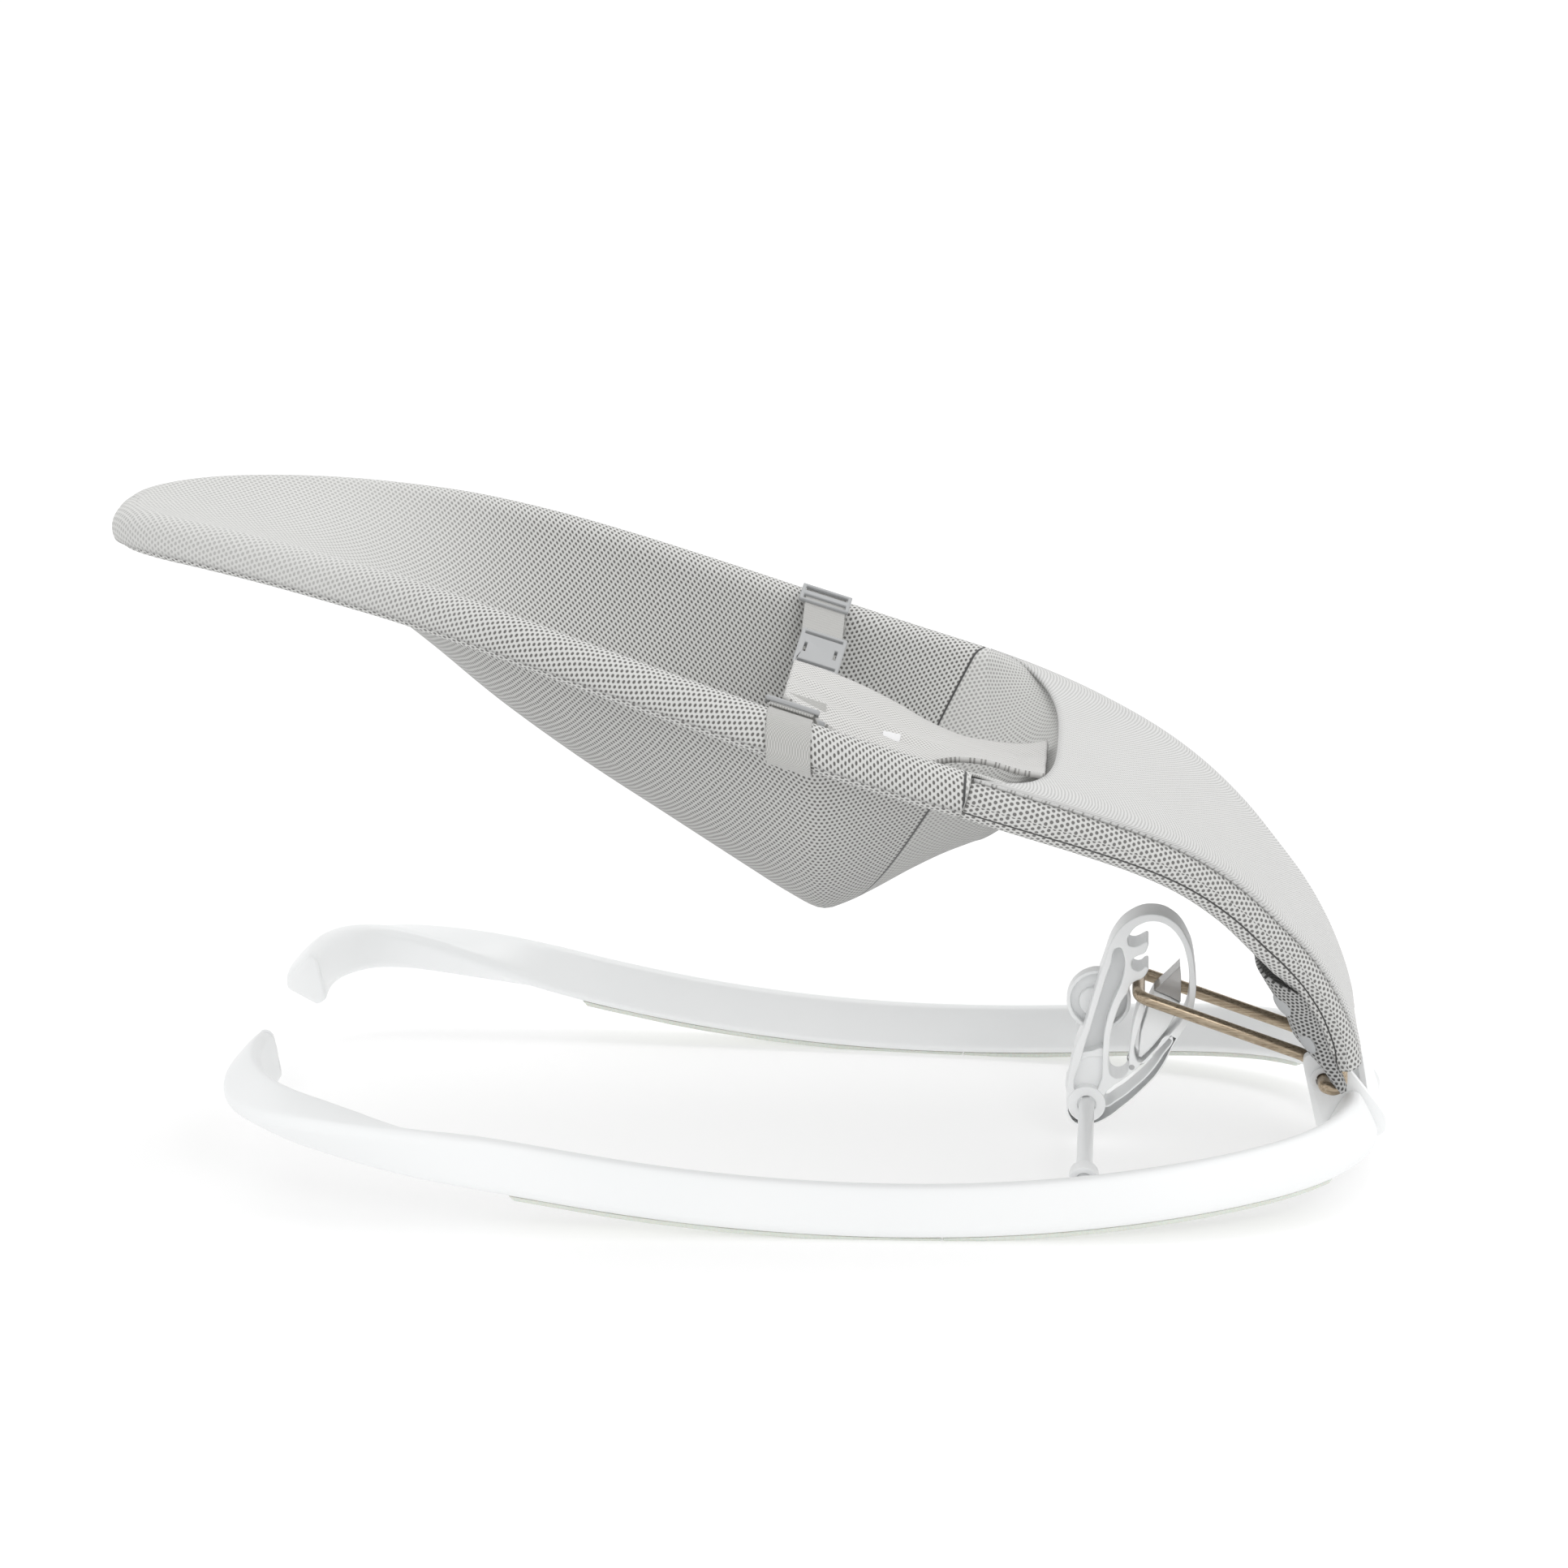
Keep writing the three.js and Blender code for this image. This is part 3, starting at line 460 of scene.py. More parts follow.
fix(spring, "lever", "screw_steel", "gate_spring")

# Recline wire. One length of 8 mm steel, bronze plated and drawn, bent round the bar, out through
# the bushings and up into the ends of the seat frame.
bronze = Finish("bronze_plate", 0.3, 1.0)
drawing_marks = bronze.out(bronze.node("ShaderNodeMapping", {}, {
    "Vector": bronze.place(),
    "Rotation": (0.0, math.radians(19), 0.0),
    "Scale": (30.0, 1600.0, 1600.0),
}), "Vector")
drawn = bronze.noise(1.0, 4.0, drawing_marks)
bronze.colour(bronze.blend(drawn.step(0.3, 0.7), (0.30, 0.235, 0.165), (0.52, 0.43, 0.32)))
bronze.roughness(0.2 + 0.2 * drawn)
bronze.relief(drawn, 0.00006, 0.5)
wire = flowing("recline_wire", "bent_wire", 2, swell=0.00034)
bronze.on(wire)
fix(wire, "seat", "bronze_wire", "recline_wire")
for node in ("left_frame_tube", "right_frame_tube", "head_tube_joiner"):
    tube = flowing(node, node + "_steel", 1)
    bronze.on(tube)
    fix(tube, "seat", "bronze_wire", node)

# Edge rolls. The hem of the seat is a padded sleeve of spacer mesh pulled over the frame tube, in
# one piece round the head and one down each leg, closed by a seam on its outer lower side.
FRAME_ROWS = np.array([
    (-378, 0, 391), (-373.5, 27, 391.2), (-352, 51, 391.5), (-320, 70, 390), (-280, 88, 386),
    (-240, 103, 380), (-193, 117, 371), (-144, 128, 358), (-96, 136, 343), (-47, 140.5, 327),
    (0, 143, 311.5), (47, 144.5, 296), (95, 144.5, 281), (142, 142.5, 267), (175, 138.5, 256),
    (208, 130, 243.5), (242, 117, 228), (270, 104, 211), (295, 91.5, 190), (316, 80.5, 167),
    (332, 71, 148), (345, 63.5, 128), (355, 57, 108), (362, 53, 90), (366, 51.5, 76),
], dtype=float)
SEAM_X = 137.0
ROLL_RADIUS = 12.5
GIRTH_POINTS = 44
SEAM_ANGLE = math.radians(327)


def flow_through(rows, steps):
    """Points on a smooth curve through the rows."""
    rows = np.asarray(rows, dtype=float)
    padded = np.vstack([2 * rows[0] - rows[1], rows, 2 * rows[-1] - rows[-2]])
    points = []
    for t in np.linspace(0, len(rows) - 1, steps):
        i = min(int(t), len(rows) - 2)
        f = t - i
        a, b, c, d = padded[i:i + 4]
        points.append(0.5 * (2 * b + (c - a) * f + (2 * a - 5 * b + 4 * c - d) * f ** 2
                             + (3 * b - a - 3 * c + d) * f ** 3))
    return np.array(points)


def skin(name, grid, cloth, closed=False):
    """A sheet of quads over a grid of points, with a map of the cloth in millimetres."""
    rows, columns = grid.shape[:2]
    shifted = (grid + np.array([CENTRE_SHIFT, 0, 0])) * MM
    faces = []
    cloth_map = []
    for i in range(rows - 1):
        for j in range(columns if closed else columns - 1):
            k = (j + 1) % columns
            here, ahead = i * columns, (i + 1) * columns
            faces.append((here + j, here + k, ahead + k, ahead + j))
            cloth_map += [cloth[i][j], cloth[i][j + 1], cloth[i + 1][j + 1], cloth[i + 1][j]]
    mesh = bpy.data.meshes.new(name)
    mesh.from_pydata([tuple(p) for p in shifted.reshape(-1, 3)], [], faces)
    layer = mesh.uv_layers.new(name="cloth")
    layer.data.foreach_set("uv", (np.array(cloth_map) * MM).ravel())
    piece = bpy.data.objects.new(name, mesh)
    scene.collection.objects.link(piece)
    alone(piece)
    bpy.ops.object.shade_smooth()
    return piece


def mark(piece, name, values):
    """A number at every point of a piece, for its material to read."""
    layer = piece.data.attributes.new(name, "FLOAT", "POINT")
    layer.data.foreach_set("value", np.asarray(values, dtype=float))


# How far each point faces the floor; the seat, leg panel and flap materials read it to paint shade on their
# undersides.
def mark_underside(piece):
    mark(piece, "underside", [max(0.0, -vertex.normal.z) for vertex in piece.data.vertices])


def thicken(piece, thickness):
    solid = piece.modifiers.new("cloth", "SOLIDIFY")
    solid.thickness = thickness * MM
    solid.offset = -1.0
    apply_modifiers(piece)


def air_mesh(name, light, dark, pitch, hole, depth, turned=False, seam_at=None):
    """Spacer mesh: a knitted face with staggered round holes, over a darker core."""
    cloth = Finish(name, 0.85, Sheen_Weight=0.2, Sheen_Roughness=0.5)
    along, around, _ = cloth.split(cloth.place("UV"))
    seam_place = around
    if turned:
        along, around = around, along
    wander = (cloth.noise(60.0, 1.0) - 0.5) * 0.0014
    u = (along + wander) / pitch
    v = (around + wander) / (pitch * math.sqrt(3))
    first_u = u.math("FRACT") - 0.5
    first_v = (v.math("FRACT") - 0.5) * math.sqrt(3)
    second_u = (u + 0.5).math("FRACT") - 0.5
    second_v = ((v + 0.5).math("FRACT") - 0.5) * math.sqrt(3)
    first = (first_u * first_u + first_v * first_v).math("SQRT")
    second = (second_u * second_u + second_v * second_v).math("SQRT")
    yarn = first.math("MINIMUM", second).step(hole * 0.7, hole * 1.2)
    yarn_turns = 2 * math.pi * 4
    wale = ((along / pitch) * yarn_turns).math("SINE")
    course = ((around / pitch) * yarn_turns).math("SINE")
    knit = wale * course
    tone = 0.5 + 0.5 * knit
    shade = cloth.blend(cloth.noise(25.0), [c * 0.95 for c in light], light)
    fibre = cloth.blend(tone * 0.2, shade, [c * 0.72 for c in light])
    face = cloth.blend(yarn, dark, fibre)
    height = yarn + 0.15 * tone
    if seam_at is not None:
        stitched = (seam_place - seam_at * MM).math("ABSOLUTE").step(0.0003, 0.0009)
        face = cloth.blend(stitched, [c * 0.3 for c in dark], face)
        height = height + stitched
    cloth.colour(face)
    cloth.relief(height, depth, 0.7)
    return cloth, face


LIGHT_GREY = (0.63, 0.63, 0.615)
HOLE_GREY = (0.15, 0.147, 0.142)


def ring_at(centre, tangent, radii, angles):
    """Points round a centre: angle 0 is level and outward, a quarter turn is up."""
    outward = np.cross((0, 0, 1.0), tangent)
    outward /= np.linalg.norm(outward)
    upward = np.cross(tangent, outward)
    directions = np.outer(np.cos(angles), outward) + np.outer(np.sin(angles), upward)
    return centre + radii[:, None] * directions


def headings(centres):
    ahead = np.gradient(centres, axis=0)
    return ahead / np.linalg.norm(ahead, axis=1)[:, None]


def edge_roll(name, centres, dips, pinches):
    """A padded roll along a row of centres; dips narrow it, pinches draw in its lower back half."""
    angles = np.linspace(0, 2 * math.pi, GIRTH_POINTS + 1)[:-1]
    from_seam = np.abs((angles - SEAM_ANGLE + math.pi) % (2 * math.pi) - math.pi)
    behind = np.clip(-np.sin(angles) * 4, 0, 1)
    grid = []
    for centre, tangent, dip, pinch in zip(centres, headings(centres), dips, pinches):
        radii = ROLL_RADIUS - dip - 0.7 * np.exp(-(from_seam / 0.13) ** 2) - pinch * behind
        grid.append(ring_at(centre, tangent, radii, angles))
    lengths = np.concatenate([[0], np.cumsum(np.linalg.norm(np.diff(centres, axis=0), axis=1))])
    girths = np.linspace(0, 2 * math.pi * ROLL_RADIUS, GIRTH_POINTS + 1)
    cloth = np.stack(np.meshgrid(lengths, girths, indexing="ij"), axis=2)
    piece = skin(name, np.array(grid), cloth, closed=True)
    thicken(piece, 2.0)
    mark_underside(piece)
    return piece, lengths[-1]


roll_mesh, _ = air_mesh("edge_mesh", LIGHT_GREY, HOLE_GREY, 0.0035, 0.31, 0.0007, turned=True,
                        seam_at=SEAM_ANGLE * ROLL_RADIUS)
left_half = flow_through(FRAME_ROWS, 260)


def tube_at(x):
    """Half width and height of the frame tube at a length."""
    return [np.interp(x, left_half[:, 0], left_half[:, k]) for k in (1, 2)]


head_half = np.vstack([left_half[left_half[:, 0] < SEAM_X - 2.5],
                       [(x, *tube_at(x)) for x in SEAM_X + np.array([-2, -1, -0.4, 0.2, 1.5])]])
head_rows = np.vstack([head_half[::-1][:-1] * (1, -1, 1), head_half])
end_dips = np.interp(head_rows[:, 0], SEAM_X + np.array([-3, -1, 0.2, 1.5]), [0, 0.1, 0.8, 2.2])
head_roll, length = edge_roll("head_edge_roll", head_rows, end_dips, np.zeros(len(head_rows)))
roll_mesh.on(head_roll)
fix(head_roll, "seat", "air_mesh", "left_edge_sleeve", "right_edge_sleeve")
leg_half = np.vstack([[(x, *tube_at(x)) for x in SEAM_X + np.array([0.3, 1, 2])],
                      left_half[left_half[:, 0] > SEAM_X + 3]])
end_dips = np.interp(leg_half[:, 0], SEAM_X + np.array([0.3, 1, 3]), [0.8, 0.1, 0])
foot_pinch = 2.8 * np.clip((leg_half[:, 0] - 330) / 10, 0, 1)
for side, mirror in (("right", -1), ("left", 1)):
    # The rows run one way round the seat, so that the seam stays on the outer side.
    rows = (leg_half * (1, mirror, 1))[::mirror]
    leg_roll, length = edge_roll(side + "_leg_roll", rows, end_dips[::mirror], foot_pinch[::mirror])
    roll_mesh.on(leg_roll)
    fix(leg_roll, "seat", "air_mesh", side + "_leg_edge_sleeve")

# Seat sheet. One sheet of the same mesh hung between the rolls: nearly flat at the head, then
# falling into a deep pocket for the baby's bottom, and rising again under the leg panel.
SAG_ROWS = np.array([
    # length, height along the middle, fullness of the bowl
    (-372, 403, 2.0), (-360, 400.5, 2.0), (-345, 397, 2.0), (-320, 392, 2.0), (-300, 387, 2.0),
    (-280, 380, 2.0), (-260, 370, 2.0), (-225, 346, 2.1), (-190, 319, 2.3), (-150, 286, 2.5),
    (-100, 250, 2.6), (-50, 217, 2.6),
    (0, 184, 2.6), (25, 168, 2.6), (45, 158, 2.6), (60, 162, 2.6), (78, 172, 2.6), (100, 186, 2.6),
    (120, 197, 2.5), (140, 206, 2.4),
], dtype=float)
sag_curve = flow_through(SAG_ROWS, 400)
COVER_RADIUS = ROLL_RADIUS + 0.4
ARC_DEPTH = 47.0
ARC_HALF_WIDTH = 143
POCKET_SEAM_X = 50


def seam_line(y):
    """The curved seam between the leg openings and the leg panel."""
    return SEAM_X + 0.6 + ARC_DEPTH * math.sqrt(max(0.0, 1 - (abs(y) / ARC_HALF_WIDTH) ** 3))


def hung_height(x, y, crest_y, crest_z):
    """Height of the hung sheet: over the roll at its edge, then a bowl down to the sag curve."""
    sag = np.interp(x, sag_curve[:, 0], sag_curve[:, 1])
    power = np.interp(x, sag_curve[:, 0], sag_curve[:, 2])
    lean = 0.4
    for _ in range(8):
        edge_y = max(crest_y - COVER_RADIUS * math.sin(lean), 2.0)
        edge_z = crest_z - COVER_RADIUS * (1 - math.cos(lean))
        lean = max(0.0, math.atan(power * (edge_z - sag) / max(edge_y, 15.0)))
    bowl = sag + (edge_z - sag) * (min(abs(y), edge_y) / edge_y) ** power
    over = min(crest_y - abs(y), COVER_RADIUS)
    crest = crest_z - COVER_RADIUS + math.sqrt(COVER_RADIUS ** 2 - over ** 2)
    hung = crest if abs(y) > edge_y else bowl
    gap = np.hypot(head_crest[:, 0] - x, head_crest[:, 1] - abs(y)).min()
    near = crest_z - COVER_RADIUS + math.sqrt(COVER_RADIUS ** 2 - min(gap, 3.7) ** 2)
    padded = near - 0.27 * max(gap - 3.7, 0.0) * math.exp(-max(gap - 3.7, 0.0) / 70)
    share = np.clip((x + 356) / 46, 0, 1)
    share = share * share * (3 - 2 * share)
    return padded * (1 - share) + hung * share


sheet_rows = head_half[head_half[:, 0] < SEAM_X - 0.3]
sheet_headings = headings(sheet_rows)
head_crest = np.array([ring_at(c, t, np.array([COVER_RADIUS]), np.array([math.pi / 2]))[0]
                       for c, t in zip(sheet_rows, sheet_headings)])
head_crest[0, 1] = 0.0
HEM_POINTS = 14
SHEET_POINTS = 75
wrap_angles = np.radians(np.linspace(90, -25, HEM_POINTS))
middle_heights = np.interp(head_crest[:, 0], sag_curve[:, 0], sag_curve[:, 1])
middle_steps = np.hypot(np.diff(head_crest[:, 0]), np.diff(middle_heights))
middle_lengths = np.concatenate([[0], np.cumsum(middle_steps)])
spread = np.sin(np.linspace(-1, 1, SHEET_POINTS) * math.pi / 2 * 0.86) / math.sin(math.pi / 2 * 0.86)
seat_grid = []
seat_cloth = []
for centre, tangent, crest, along in zip(sheet_rows, sheet_headings, head_crest, middle_lengths):
    hem = ring_at(centre, tangent, np.full(HEM_POINTS, COVER_RADIUS), wrap_angles)
    hem[0] = crest
    row = [(crest[0], crest[1] * t, hung_height(crest[0], crest[1] * t, crest[1], crest[2])) for t in spread]
    steps = np.hypot(np.diff([p[1] for p in row]), np.diff([p[2] for p in row]))
    across = np.concatenate([[0], np.cumsum(steps)])
    across -= across[SHEET_POINTS // 2]
    reach = (math.pi / 2 - wrap_angles[1:]) * COVER_RADIUS
    hem_cloth = [(along - r * tangent[1], across[-1] + r * tangent[0]) for r in reach]
    seat_grid.append([(x, -y, z) for x, y, z in hem[:0:-1]] + row + [tuple(p) for p in hem[1:]])
    seat_cloth.append([(u, -v) for u, v in hem_cloth[::-1]] + [(along, v) for v in across] + hem_cloth)
seat_grid = np.array(seat_grid)


def gathered(y):
    """Length of the seam across the pocket, where the back sheet meets the gusset."""
    return POCKET_SEAM_X + (SEAM_X - POCKET_SEAM_X) * np.minimum(np.abs(y) / 142, 1.0) ** 1.2


seat_sheet = skin("seat_sheet", seat_grid, seat_cloth)
mark(seat_sheet, "gusset", ((seat_grid[..., 0] - gathered(seat_grid[..., 1])) * MM).ravel())

tube_slope = np.gradient(left_half, axis=0)
tube_normal = np.stack([-tube_slope[:, 2], tube_slope[:, 0]], axis=1)
tube_normal /= np.linalg.norm(tube_normal, axis=1)[:, None]


def panel_point(t, s):
    """The leg panel: t runs across it, s from the curved seam down the tubes to the foot."""
    steps = np.arange(len(left_half))
    start = np.interp(seam_line(t * ARC_HALF_WIDTH), left_half[:, 0], steps)
    place = start * (1 - s) + steps[-1] * s
    x, half, z = [np.interp(place, steps, left_half[:, k]) for k in range(3)]
    out_x, out_z = [np.interp(place, steps, tube_normal[:, k]) for k in range(2)]
    swell = 3.0 - 6.5 * math.exp(-s * 7) - 7.0 * s ** 6
    rise = ROLL_RADIUS + 0.8 - 1.4 * s ** 6 + swell * (1 - t * t) ** 0.7
    rise -= 1.6 * (max(0.0, abs(t) - 0.9) / 0.1) ** 2
    return x + out_x * rise, t * (half + 5.0 - 6.0 * s ** 4), z + out_z * rise


# The gusset rises from the last row and is sewn under the edge of the leg panel.
HUNG = slice(HEM_POINTS - 1, 1 - HEM_POINTS)
last_row = seat_grid[-1, HUNG]
gusset_grid = []
gusset_cloth = []
for s in np.linspace(0, 1, 16):
    row = []
    for x, y, z in last_row:
        far_x, far_y, far_z = panel_point(max(-0.985, min(0.985, y / 148)), 0.02)
        rise = s ** 1.4
        row.append((x + (far_x - x) * s, y + (far_y - y) * s, z * (1 - rise) + (far_z - 2.0) * rise))
    gusset_grid.append(row)
    gusset_cloth.append([(middle_lengths[-1] + 62 * s, v) for v in np.array(seat_cloth[-1])[HUNG, 1]])
gusset_grid = np.array(gusset_grid)
gusset = skin("gusset", gusset_grid, gusset_cloth)
mark(gusset, "gusset", np.full(gusset_grid.shape[0] * gusset_grid.shape[1], 0.05))
seat_sheet = joined("seat_sheet", seat_sheet, gusset)
bpy.ops.object.mode_set(mode="EDIT")
bpy.ops.mesh.select_all(action="SELECT")
bpy.ops.mesh.remove_doubles(threshold=0.00002)
bpy.ops.object.mode_set(mode="OBJECT")
thicken(seat_sheet, 1.7)
mark_underside(seat_sheet)


def cell_area(grid):
    corner = grid[:-1, :-1]
    return np.linalg.norm(np.cross(grid[1:, :-1] - corner, grid[:-1, 1:] - corner), axis=2).sum()


def with_painted_shade(cloth, face):
    """Painted shade: the side that faces the floor is painted a shade darker in the colour, as if in shadow.
    """
    under = cloth.out(cloth.node("ShaderNodeAttribute", {"attribute_name": "underside"}, {}), "Fac")
    return cloth.blend(under * 0.42, face, (0.12, 0.118, 0.115))


sheet_mesh, face = air_mesh("seat_mesh", LIGHT_GREY, (0.13, 0.127, 0.12), 0.0033, 0.29, 0.0006)
lengthwise, _, _ = sheet_mesh.split(sheet_mesh.place())
face = sheet_mesh.blend(lengthwise.step(-0.27, -0.12) * 0.62 + 0.38, LIGHT_GREY, face)
past_seam = sheet_mesh.out(sheet_mesh.node("ShaderNodeAttribute", {"attribute_name": "gusset"}, {}), "Fac")
face = sheet_mesh.blend(past_seam.step(0.0, 0.001) * 0.45, face, LIGHT_GREY)
face = sheet_mesh.blend(past_seam.math("ABSOLUTE").step(0.0004, 0.0012), (0.06, 0.06, 0.06), face)
sheet_mesh.colour(with_painted_shade(sheet_mesh, face))
sheet_mesh.on(seat_sheet)
fix(seat_sheet, "seat", "air_mesh", "seat_hammock")
seat_area = cell_area(seat_grid) + cell_area(gusset_grid)


def arc_length(grid):
    """A map of the cloth: millimetres along the middle and across each row."""
    middle = grid[:, grid.shape[1] // 2]
    lengths = np.concatenate([[0], np.cumsum(np.linalg.norm(np.diff(middle, axis=0), axis=1))])
    steps = np.linalg.norm(np.diff(grid, axis=1), axis=2)
    girths = np.hstack([np.zeros((len(grid), 1)), np.cumsum(steps, axis=1)])
    girths -= girths[:, [grid.shape[1] // 2]]
    return np.stack([np.repeat(lengths[:, None], grid.shape[1], axis=1), girths], axis=2)


def sheet_of(name, grid, thickness):
    """A cloth over a grid: the piece, its flat length and width and its area in millimetres."""
    cloth = arc_length(grid)
    piece = skin(name, grid, cloth)
    thicken(piece, thickness)
    mark_underside(piece)
    return piece, cloth[-1, 0, 0], (cloth[:, -1, 1] - cloth[:, 0, 1]).max(), cell_area(grid)


# Leg panel. A finer ribbed mesh stretched over the tops of the rolls from a curved seam down to
# the foot; the curved seam frames the two leg openings.
panel_grid = np.array([[panel_point(t, s) for t in np.linspace(-1, 1, 65)] for s in np.linspace(0, 1, 76)])
panel_mesh, face = air_mesh("panel_mesh", (0.66, 0.66, 0.65), (0.34, 0.337, 0.33), 0.0023, 0.25, 0.0004)
panel_mesh.colour(with_painted_shade(panel_mesh, face))
leg_panel, long, wide, area = sheet_of("leg_cover", panel_grid, 2.2)
panel_mesh.on(leg_panel)
fix(leg_panel, "seat", "air_mesh", "leg_panel")

# Crotch flap. It rises from the curved seam between the legs and narrows to a tab that takes the
# waist webbing; a small blank tag is sewn near its right edge.
FLAP_ROWS = np.array([
    # length, right edge, left edge, heights of right edge, middle and left edge
    (182, -94, 34, 266, 255, 250), (166, -84, 36, 265.5, 253, 247), (147, -70, 36, 266.5, 255, 248),
    (127, -64, 34, 266, 259, 252), (105, -67, 35, 263, 265, 261), (85, -67, 37, 267, 272, 272),
    (62, -62, 38, 276, 282, 283), (40, -52, 37, 288, 291, 292), (22, -42, 36, 297, 298, 298),
], dtype=float)
flap_grid = []
for x, right, left, right_z, mid_z, left_z in flow_through(FLAP_ROWS, 80):
    row = []
    for t in np.linspace(0, 1, 41):
        curve = right_z * (1 - t) * (1 - 2 * t) + 4 * mid_z * t * (1 - t) + left_z * t * (2 * t - 1)
        fold = 0.7 * math.sin(t * 19 + x * 0.06) * math.sin(math.pi * t)
        row.append((x, right + (left - right) * t, curve + fold))
    flap_grid.append(row)
flap_grid = np.array(flap_grid)[::-1]
flap_mesh, face = air_mesh("flap_mesh", (0.66, 0.655, 0.64), (0.30, 0.295, 0.285), 0.0026, 0.27, 0.0004)
flap_mesh.colour(with_painted_shade(flap_mesh, face))
flap, long, wide, area = sheet_of("crotch_flap_cloth", flap_grid, 3.4)
flap_mesh.on(flap)
fix(flap, "seat", "air_mesh", "crotch_flap")

# Webbing cloth and the small blank tag on the flap.
woven = Finish("woven_webbing", 0.8, Sheen_Weight=0.2)
web_x, web_y, _ = woven.split(woven.place())
weft = (web_y * (2 * math.pi / 0.0011)).math("SINE")
warp = (web_x * (2 * math.pi / 0.0016)).math("SINE")
basket = (weft * warp).step(-0.6, 0.8)
woven.colour(woven.blend(basket, (0.38, 0.38, 0.365), (0.56, 0.555, 0.54)))
woven.relief(basket, 0.0003, 0.8)
tag = eased("flap_tag", "blank_tag", 0.0003)
tag_cloth = Finish("tag_satin", 0.6)
tag_cloth.colour(tag_cloth.blend(tag_cloth.noise(800.0), (0.72, 0.72, 0.73), (0.80, 0.80, 0.81)))
tag_cloth.relief(tag_cloth.noise(2000.0), 0.00005, 0.5)
tag_cloth.on(tag)
fix(tag, "seat", "webbing", "flap_tag")

# Foot sleeve. The lower back of the seat wraps both legs of the frame and the wire, and closes
# with two oval snaps near its back edge.
WRAP_ROWS = np.array([
    # back x, back z, front x, front z, half width
    (311, 141, 344, 126, 77), (321, 124, 350, 115, 74), (330, 108, 355, 106, 70.5),
    (334.5, 97, 358.5, 97, 68), (343.5, 86, 361.5, 88, 66), (353, 75, 364.5, 79, 64.5),
    (359.5, 66, 368, 70, 63.8), (364, 60.5, 370, 63.5, 63.2),
], dtype=float)
WRAP_STEPS = 60
wrap_rows = flow_through(WRAP_ROWS, WRAP_STEPS)
wrap_grid = []
for v in np.linspace(0, 1, 42):
    ring = []
    for angle in np.linspace(0, 2 * math.pi, 85)[:-1]:
        across = math.copysign(abs(math.cos(angle)) ** 0.34, math.cos(angle))
        depth = 0.5 + 0.5 * math.copysign(abs(math.sin(angle)) ** 0.55, math.sin(angle))
        # The hem is cut higher between the legs, clear of the bracket.
        middle = min(1.0, max(0.0, (50 - abs(across) * 66) / 7))
        place = v * (1 - 0.34 * middle) * (WRAP_STEPS - 1)
        back_x, back_z, front_x, front_z, half = [np.interp(place, np.arange(WRAP_STEPS), column)
                                                  for column in wrap_rows.T]
        pucker = 0.5 * math.sin(9 * angle + back_z * 0.35)
        ring.append((back_x + (front_x - back_x) * depth, across * (half + pucker),
                     back_z + (front_z - back_z) * depth))
    wrap_grid.append(ring)
wrap_grid = np.array(wrap_grid)
wrap_lengths = np.concatenate([[0], np.cumsum(np.linalg.norm(np.diff(wrap_grid[:, 0], axis=0), axis=1))])
ring_steps = np.linalg.norm(np.diff(wrap_grid, axis=1, append=wrap_grid[:, :1]), axis=2)
wrap_girths = np.hstack([np.zeros((len(wrap_grid), 1)), np.cumsum(ring_steps, axis=1)])
wrap_cloth = np.stack([np.repeat(wrap_lengths[:, None], wrap_girths.shape[1], axis=1), wrap_girths], axis=2)
foot = skin("foot_wrap", wrap_grid, wrap_cloth, closed=True)
thicken(foot, 2.2)
wrap_mesh, _ = air_mesh("foot_mesh", (0.42, 0.42, 0.415), (0.05, 0.05, 0.048), 0.0033, 0.33, 0.0006)
wrap_mesh.on(foot)
fix(foot, "seat", "air_mesh", "foot_sleeve")

clip_grey = Finish("clip_grey", 0.42)
clip_grey.colour(clip_grey.blend(clip_grey.noise(30.0), (0.34, 0.35, 0.355), (0.40, 0.405, 0.41)))
clip_grey.relief(clip_grey.noise(1200.0), 0.00004, 0.5)
for place, x, z in (("upper", 327.5, 121.0), ("lower", 343.5, 96.0)):
    near_wall = wrap_grid[..., 1] < -55
    gaps = np.hypot(wrap_grid[..., 0] - x, wrap_grid[..., 2] - z) + np.where(near_wall, 0, 1000)
    wall_y = wrap_grid.reshape(-1, 3)[gaps.argmin(), 1]
    bpy.ops.mesh.primitive_uv_sphere_add(segments=32, ring_count=16, radius=1.0,
                                         location=at(x, wall_y - 0.4, z),
                                         rotation=(0.0, math.radians(52), math.radians(-12)),
                                         scale=(0.0082, 0.0013, 0.0032))
    stud = bpy.context.object
    stud.name = place + "_oval_snap"
    bpy.ops.object.transform_apply(location=True, rotation=True, scale=True)
    bpy.ops.object.shade_smooth()
    clip_grey.on(stud)
    fix(stud, "seat", "grey_plastic", place + "_snap")


# Waist harness. Woven webbing looped round each roll, a ladder slider, and a flat two-slot buckle
# on each side of the flap.
HARNESS_X = 35.5
ROLL_SLOPE = 17
WEBBING_WIDTH = 27
WEBBING_THICKNESS = 1.5


def band(name, path, side):
    """Flat webbing along a path of (y, z), its width along the roll's slope."""
    slope = math.radians(-ROLL_SLOPE)
    points = flow_through([(0.0, y, z) for y, z in path], 40)
    grid = []
    for _, y, z in points:
        grid.append([(HARNESS_X + u * math.cos(slope), side * y, z + u * math.sin(slope))
                     for u in np.linspace(-WEBBING_WIDTH / 2, WEBBING_WIDTH / 2, 9)])
    grid = np.array(grid)
    piece = skin(name, grid, arc_length(grid))
    solid = piece.modifiers.new("weave", "SOLIDIFY")
    solid.thickness = WEBBING_THICKNESS * MM
    solid.offset = 0.0
    ease = piece.modifiers.new("ease", "BEVEL")
    ease.width = 0.0005
    ease.segments = 2
    apply_modifiers(piece)
    bpy.ops.object.shade_smooth_by_angle(angle=math.radians(40))
    return piece


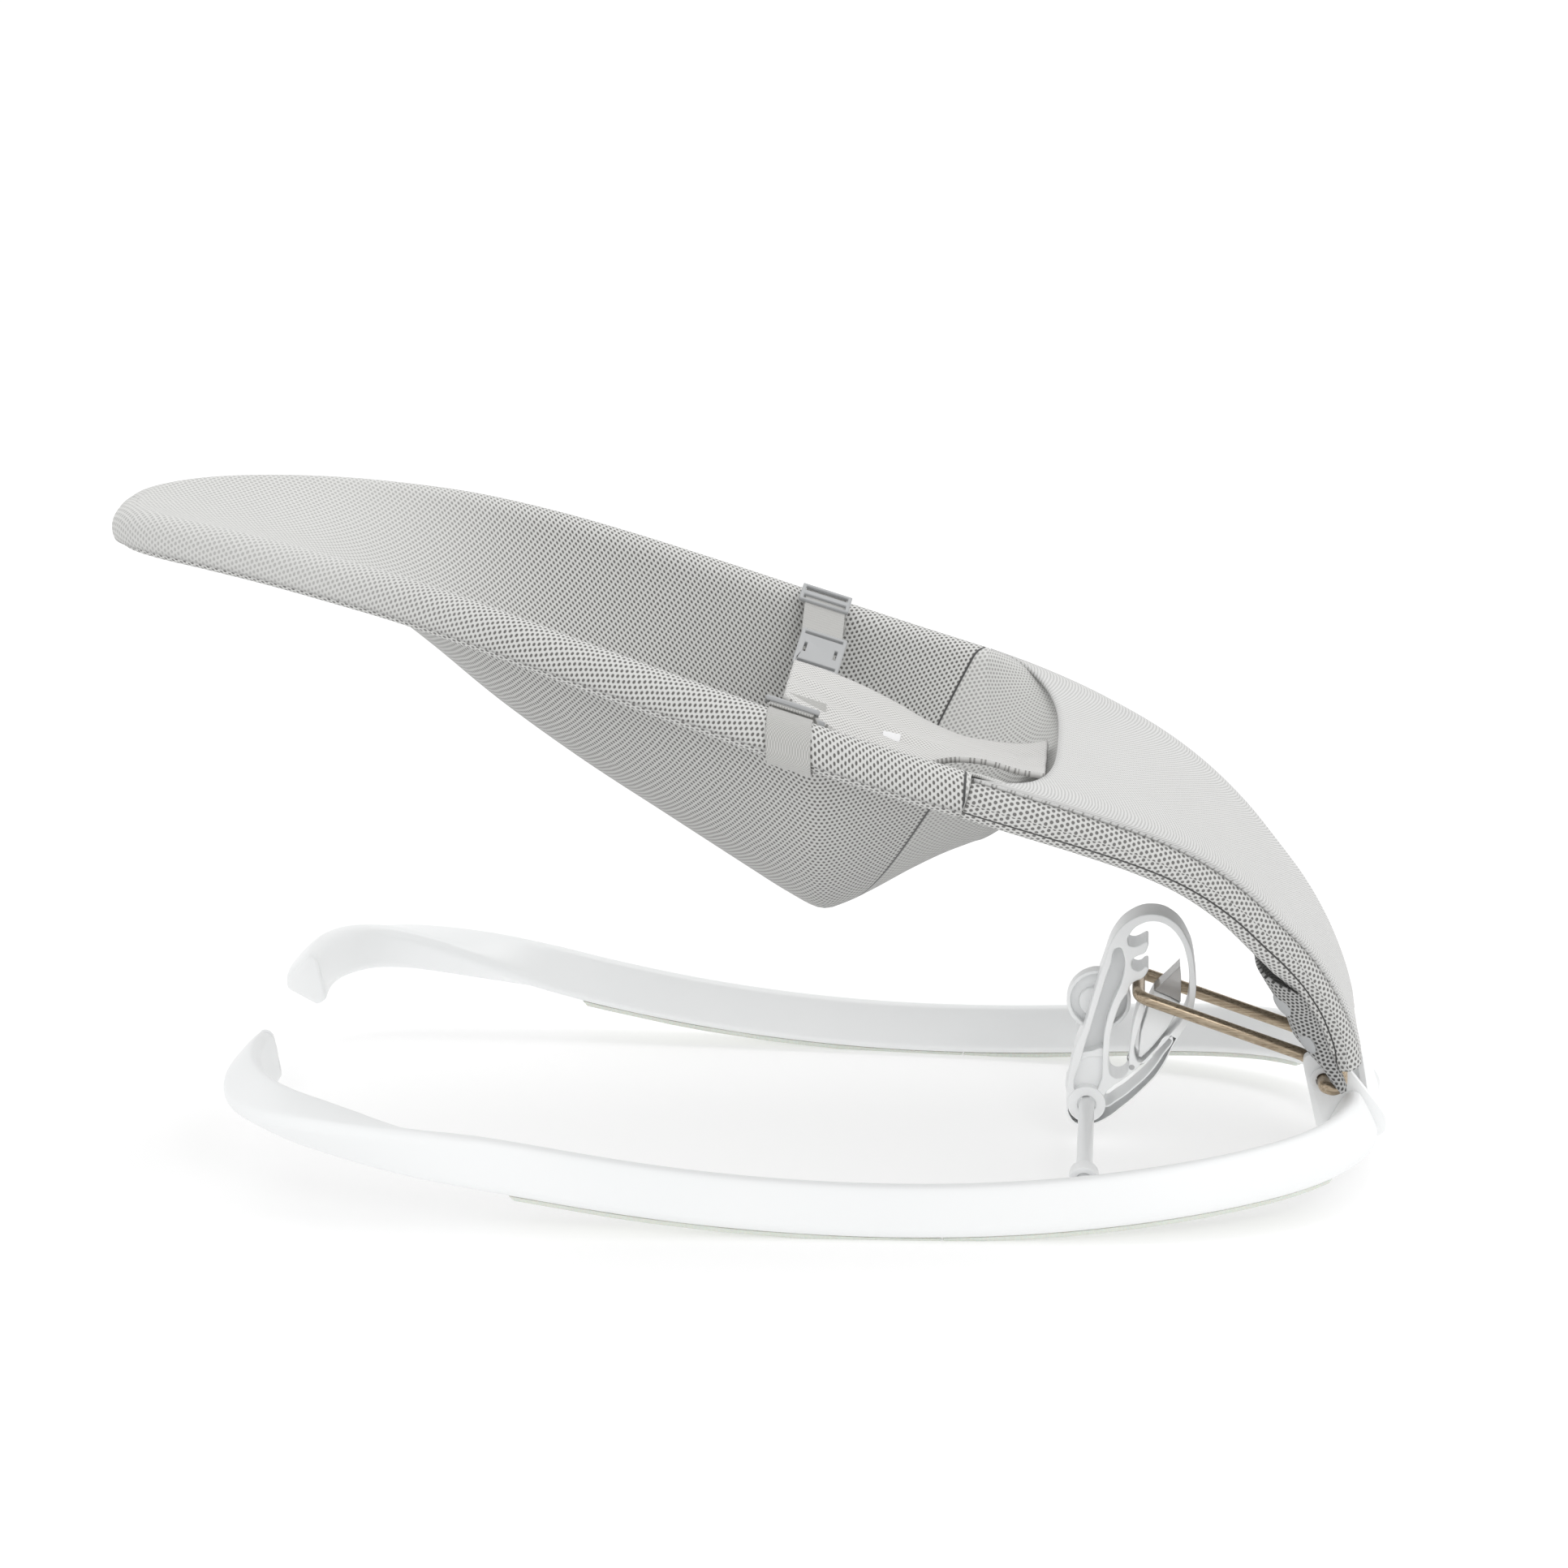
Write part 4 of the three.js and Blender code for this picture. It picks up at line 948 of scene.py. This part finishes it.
def rectangle(x, y, width, height):
    left, right = x - width / 2, x + width / 2
    bottom, top = y - height / 2, y + height / 2
    return [(left, bottom), (right, bottom), (right, top), (left, top)]


def slotted_clip(name, width, height, thickness, slots, place, tilt, side):
    """A flat moulded clip with slots, laid along the webbing at a place (y, z)."""
    outlines = [rectangle(0, 0, width, height)] + [rectangle(*slot) for slot in slots]
    curve = bpy.data.curves.new(name, "CURVE")
    curve.dimensions = "2D"
    curve.fill_mode = "BOTH"
    for points in outlines:
        spline = curve.splines.new("POLY")
        spline.points.add(len(points) - 1)
        spline.use_cyclic_u = True
        for knot, (x, y) in zip(spline.points, points):
            knot.co = (x * MM, y * MM, 0.0, 1.0)
    curve.extrude = thickness * MM / 2
    piece = bpy.data.objects.new(name, curve)
    scene.collection.objects.link(piece)
    piece.rotation_euler = (math.radians(tilt) * side, math.radians(ROLL_SLOPE), 0.0)
    piece.location = at(HARNESS_X, side * place[0], place[1])
    alone(piece)
    bpy.ops.object.convert(target="MESH")
    bpy.ops.object.transform_apply(location=True, rotation=True, scale=True)
    bpy.ops.object.mode_set(mode="EDIT")
    bpy.ops.mesh.select_all(action="SELECT")
    bpy.ops.mesh.remove_doubles(threshold=0.00001)
    bpy.ops.mesh.dissolve_limited(angle_limit=math.radians(2))
    bpy.ops.mesh.normals_make_consistent(inside=False)
    bpy.ops.object.mode_set(mode="OBJECT")
    ease = piece.modifiers.new("ease", "BEVEL")
    ease.width = 0.0009
    ease.segments = 3
    ease.limit_method = "ANGLE"
    apply_modifiers(piece)
    bpy.ops.object.shade_smooth_by_angle(angle=math.radians(40))
    return piece


LOOP_RADIUS = 15.9
loop_path = [(144.2 + LOOP_RADIUS * math.cos(a), 299.8 + LOOP_RADIUS * math.sin(a))
             for a in np.linspace(2.2, -4.0, 26)]
STRAP_PATH = [(139, 317.6), (131, 316.0), (122, 312.5), (108, 305.5), (95, 299.5)]
TAIL_PATH = [(61, 287.5), (52, 286.5), (43, 290.5), (34, 296.0)]
SLIDER_SLOTS = [(0, 4.2, 28, 4.4), (0, -4.2, 28, 4.4)]
BUCKLE_SLOTS = [(0, 15.5, 25, 3), (-10, 0, 1.8, 10), (10, 0, 1.8, 10), (0, -15.5, 25, 3)]
for side, word in ((1, "left"), (-1, "right")):
    loop = band(word + "_loop_webbing", loop_path, side)
    woven.on(loop)
    fix(loop, "seat", "webbing", word + "_frame_loop")
    strap = band(word + "_waist_webbing", STRAP_PATH, side)
    woven.on(strap)
    fix(strap, "seat", "webbing", word + "_waist_strap")
    tail = band(word + "_flap_webbing", TAIL_PATH, side)
    woven.on(tail)
    fix(tail, "seat", "webbing", word + "_flap_strap")
    slider = slotted_clip(word + "_ladder_slider", 33, 17, 3.0, SLIDER_SLOTS, (129, 317.0), 22, side)
    clip_grey.on(slider)
    fix(slider, "seat", "grey_plastic", word + "_slider")
    buckle = slotted_clip(word + "_flat_buckle", 30, 39, 4.2, BUCKLE_SLOTS, (78, 294.5), 20, side)
    clip_grey.on(buckle)
    fix(buckle, "seat", "grey_plastic", word + "_buckle")
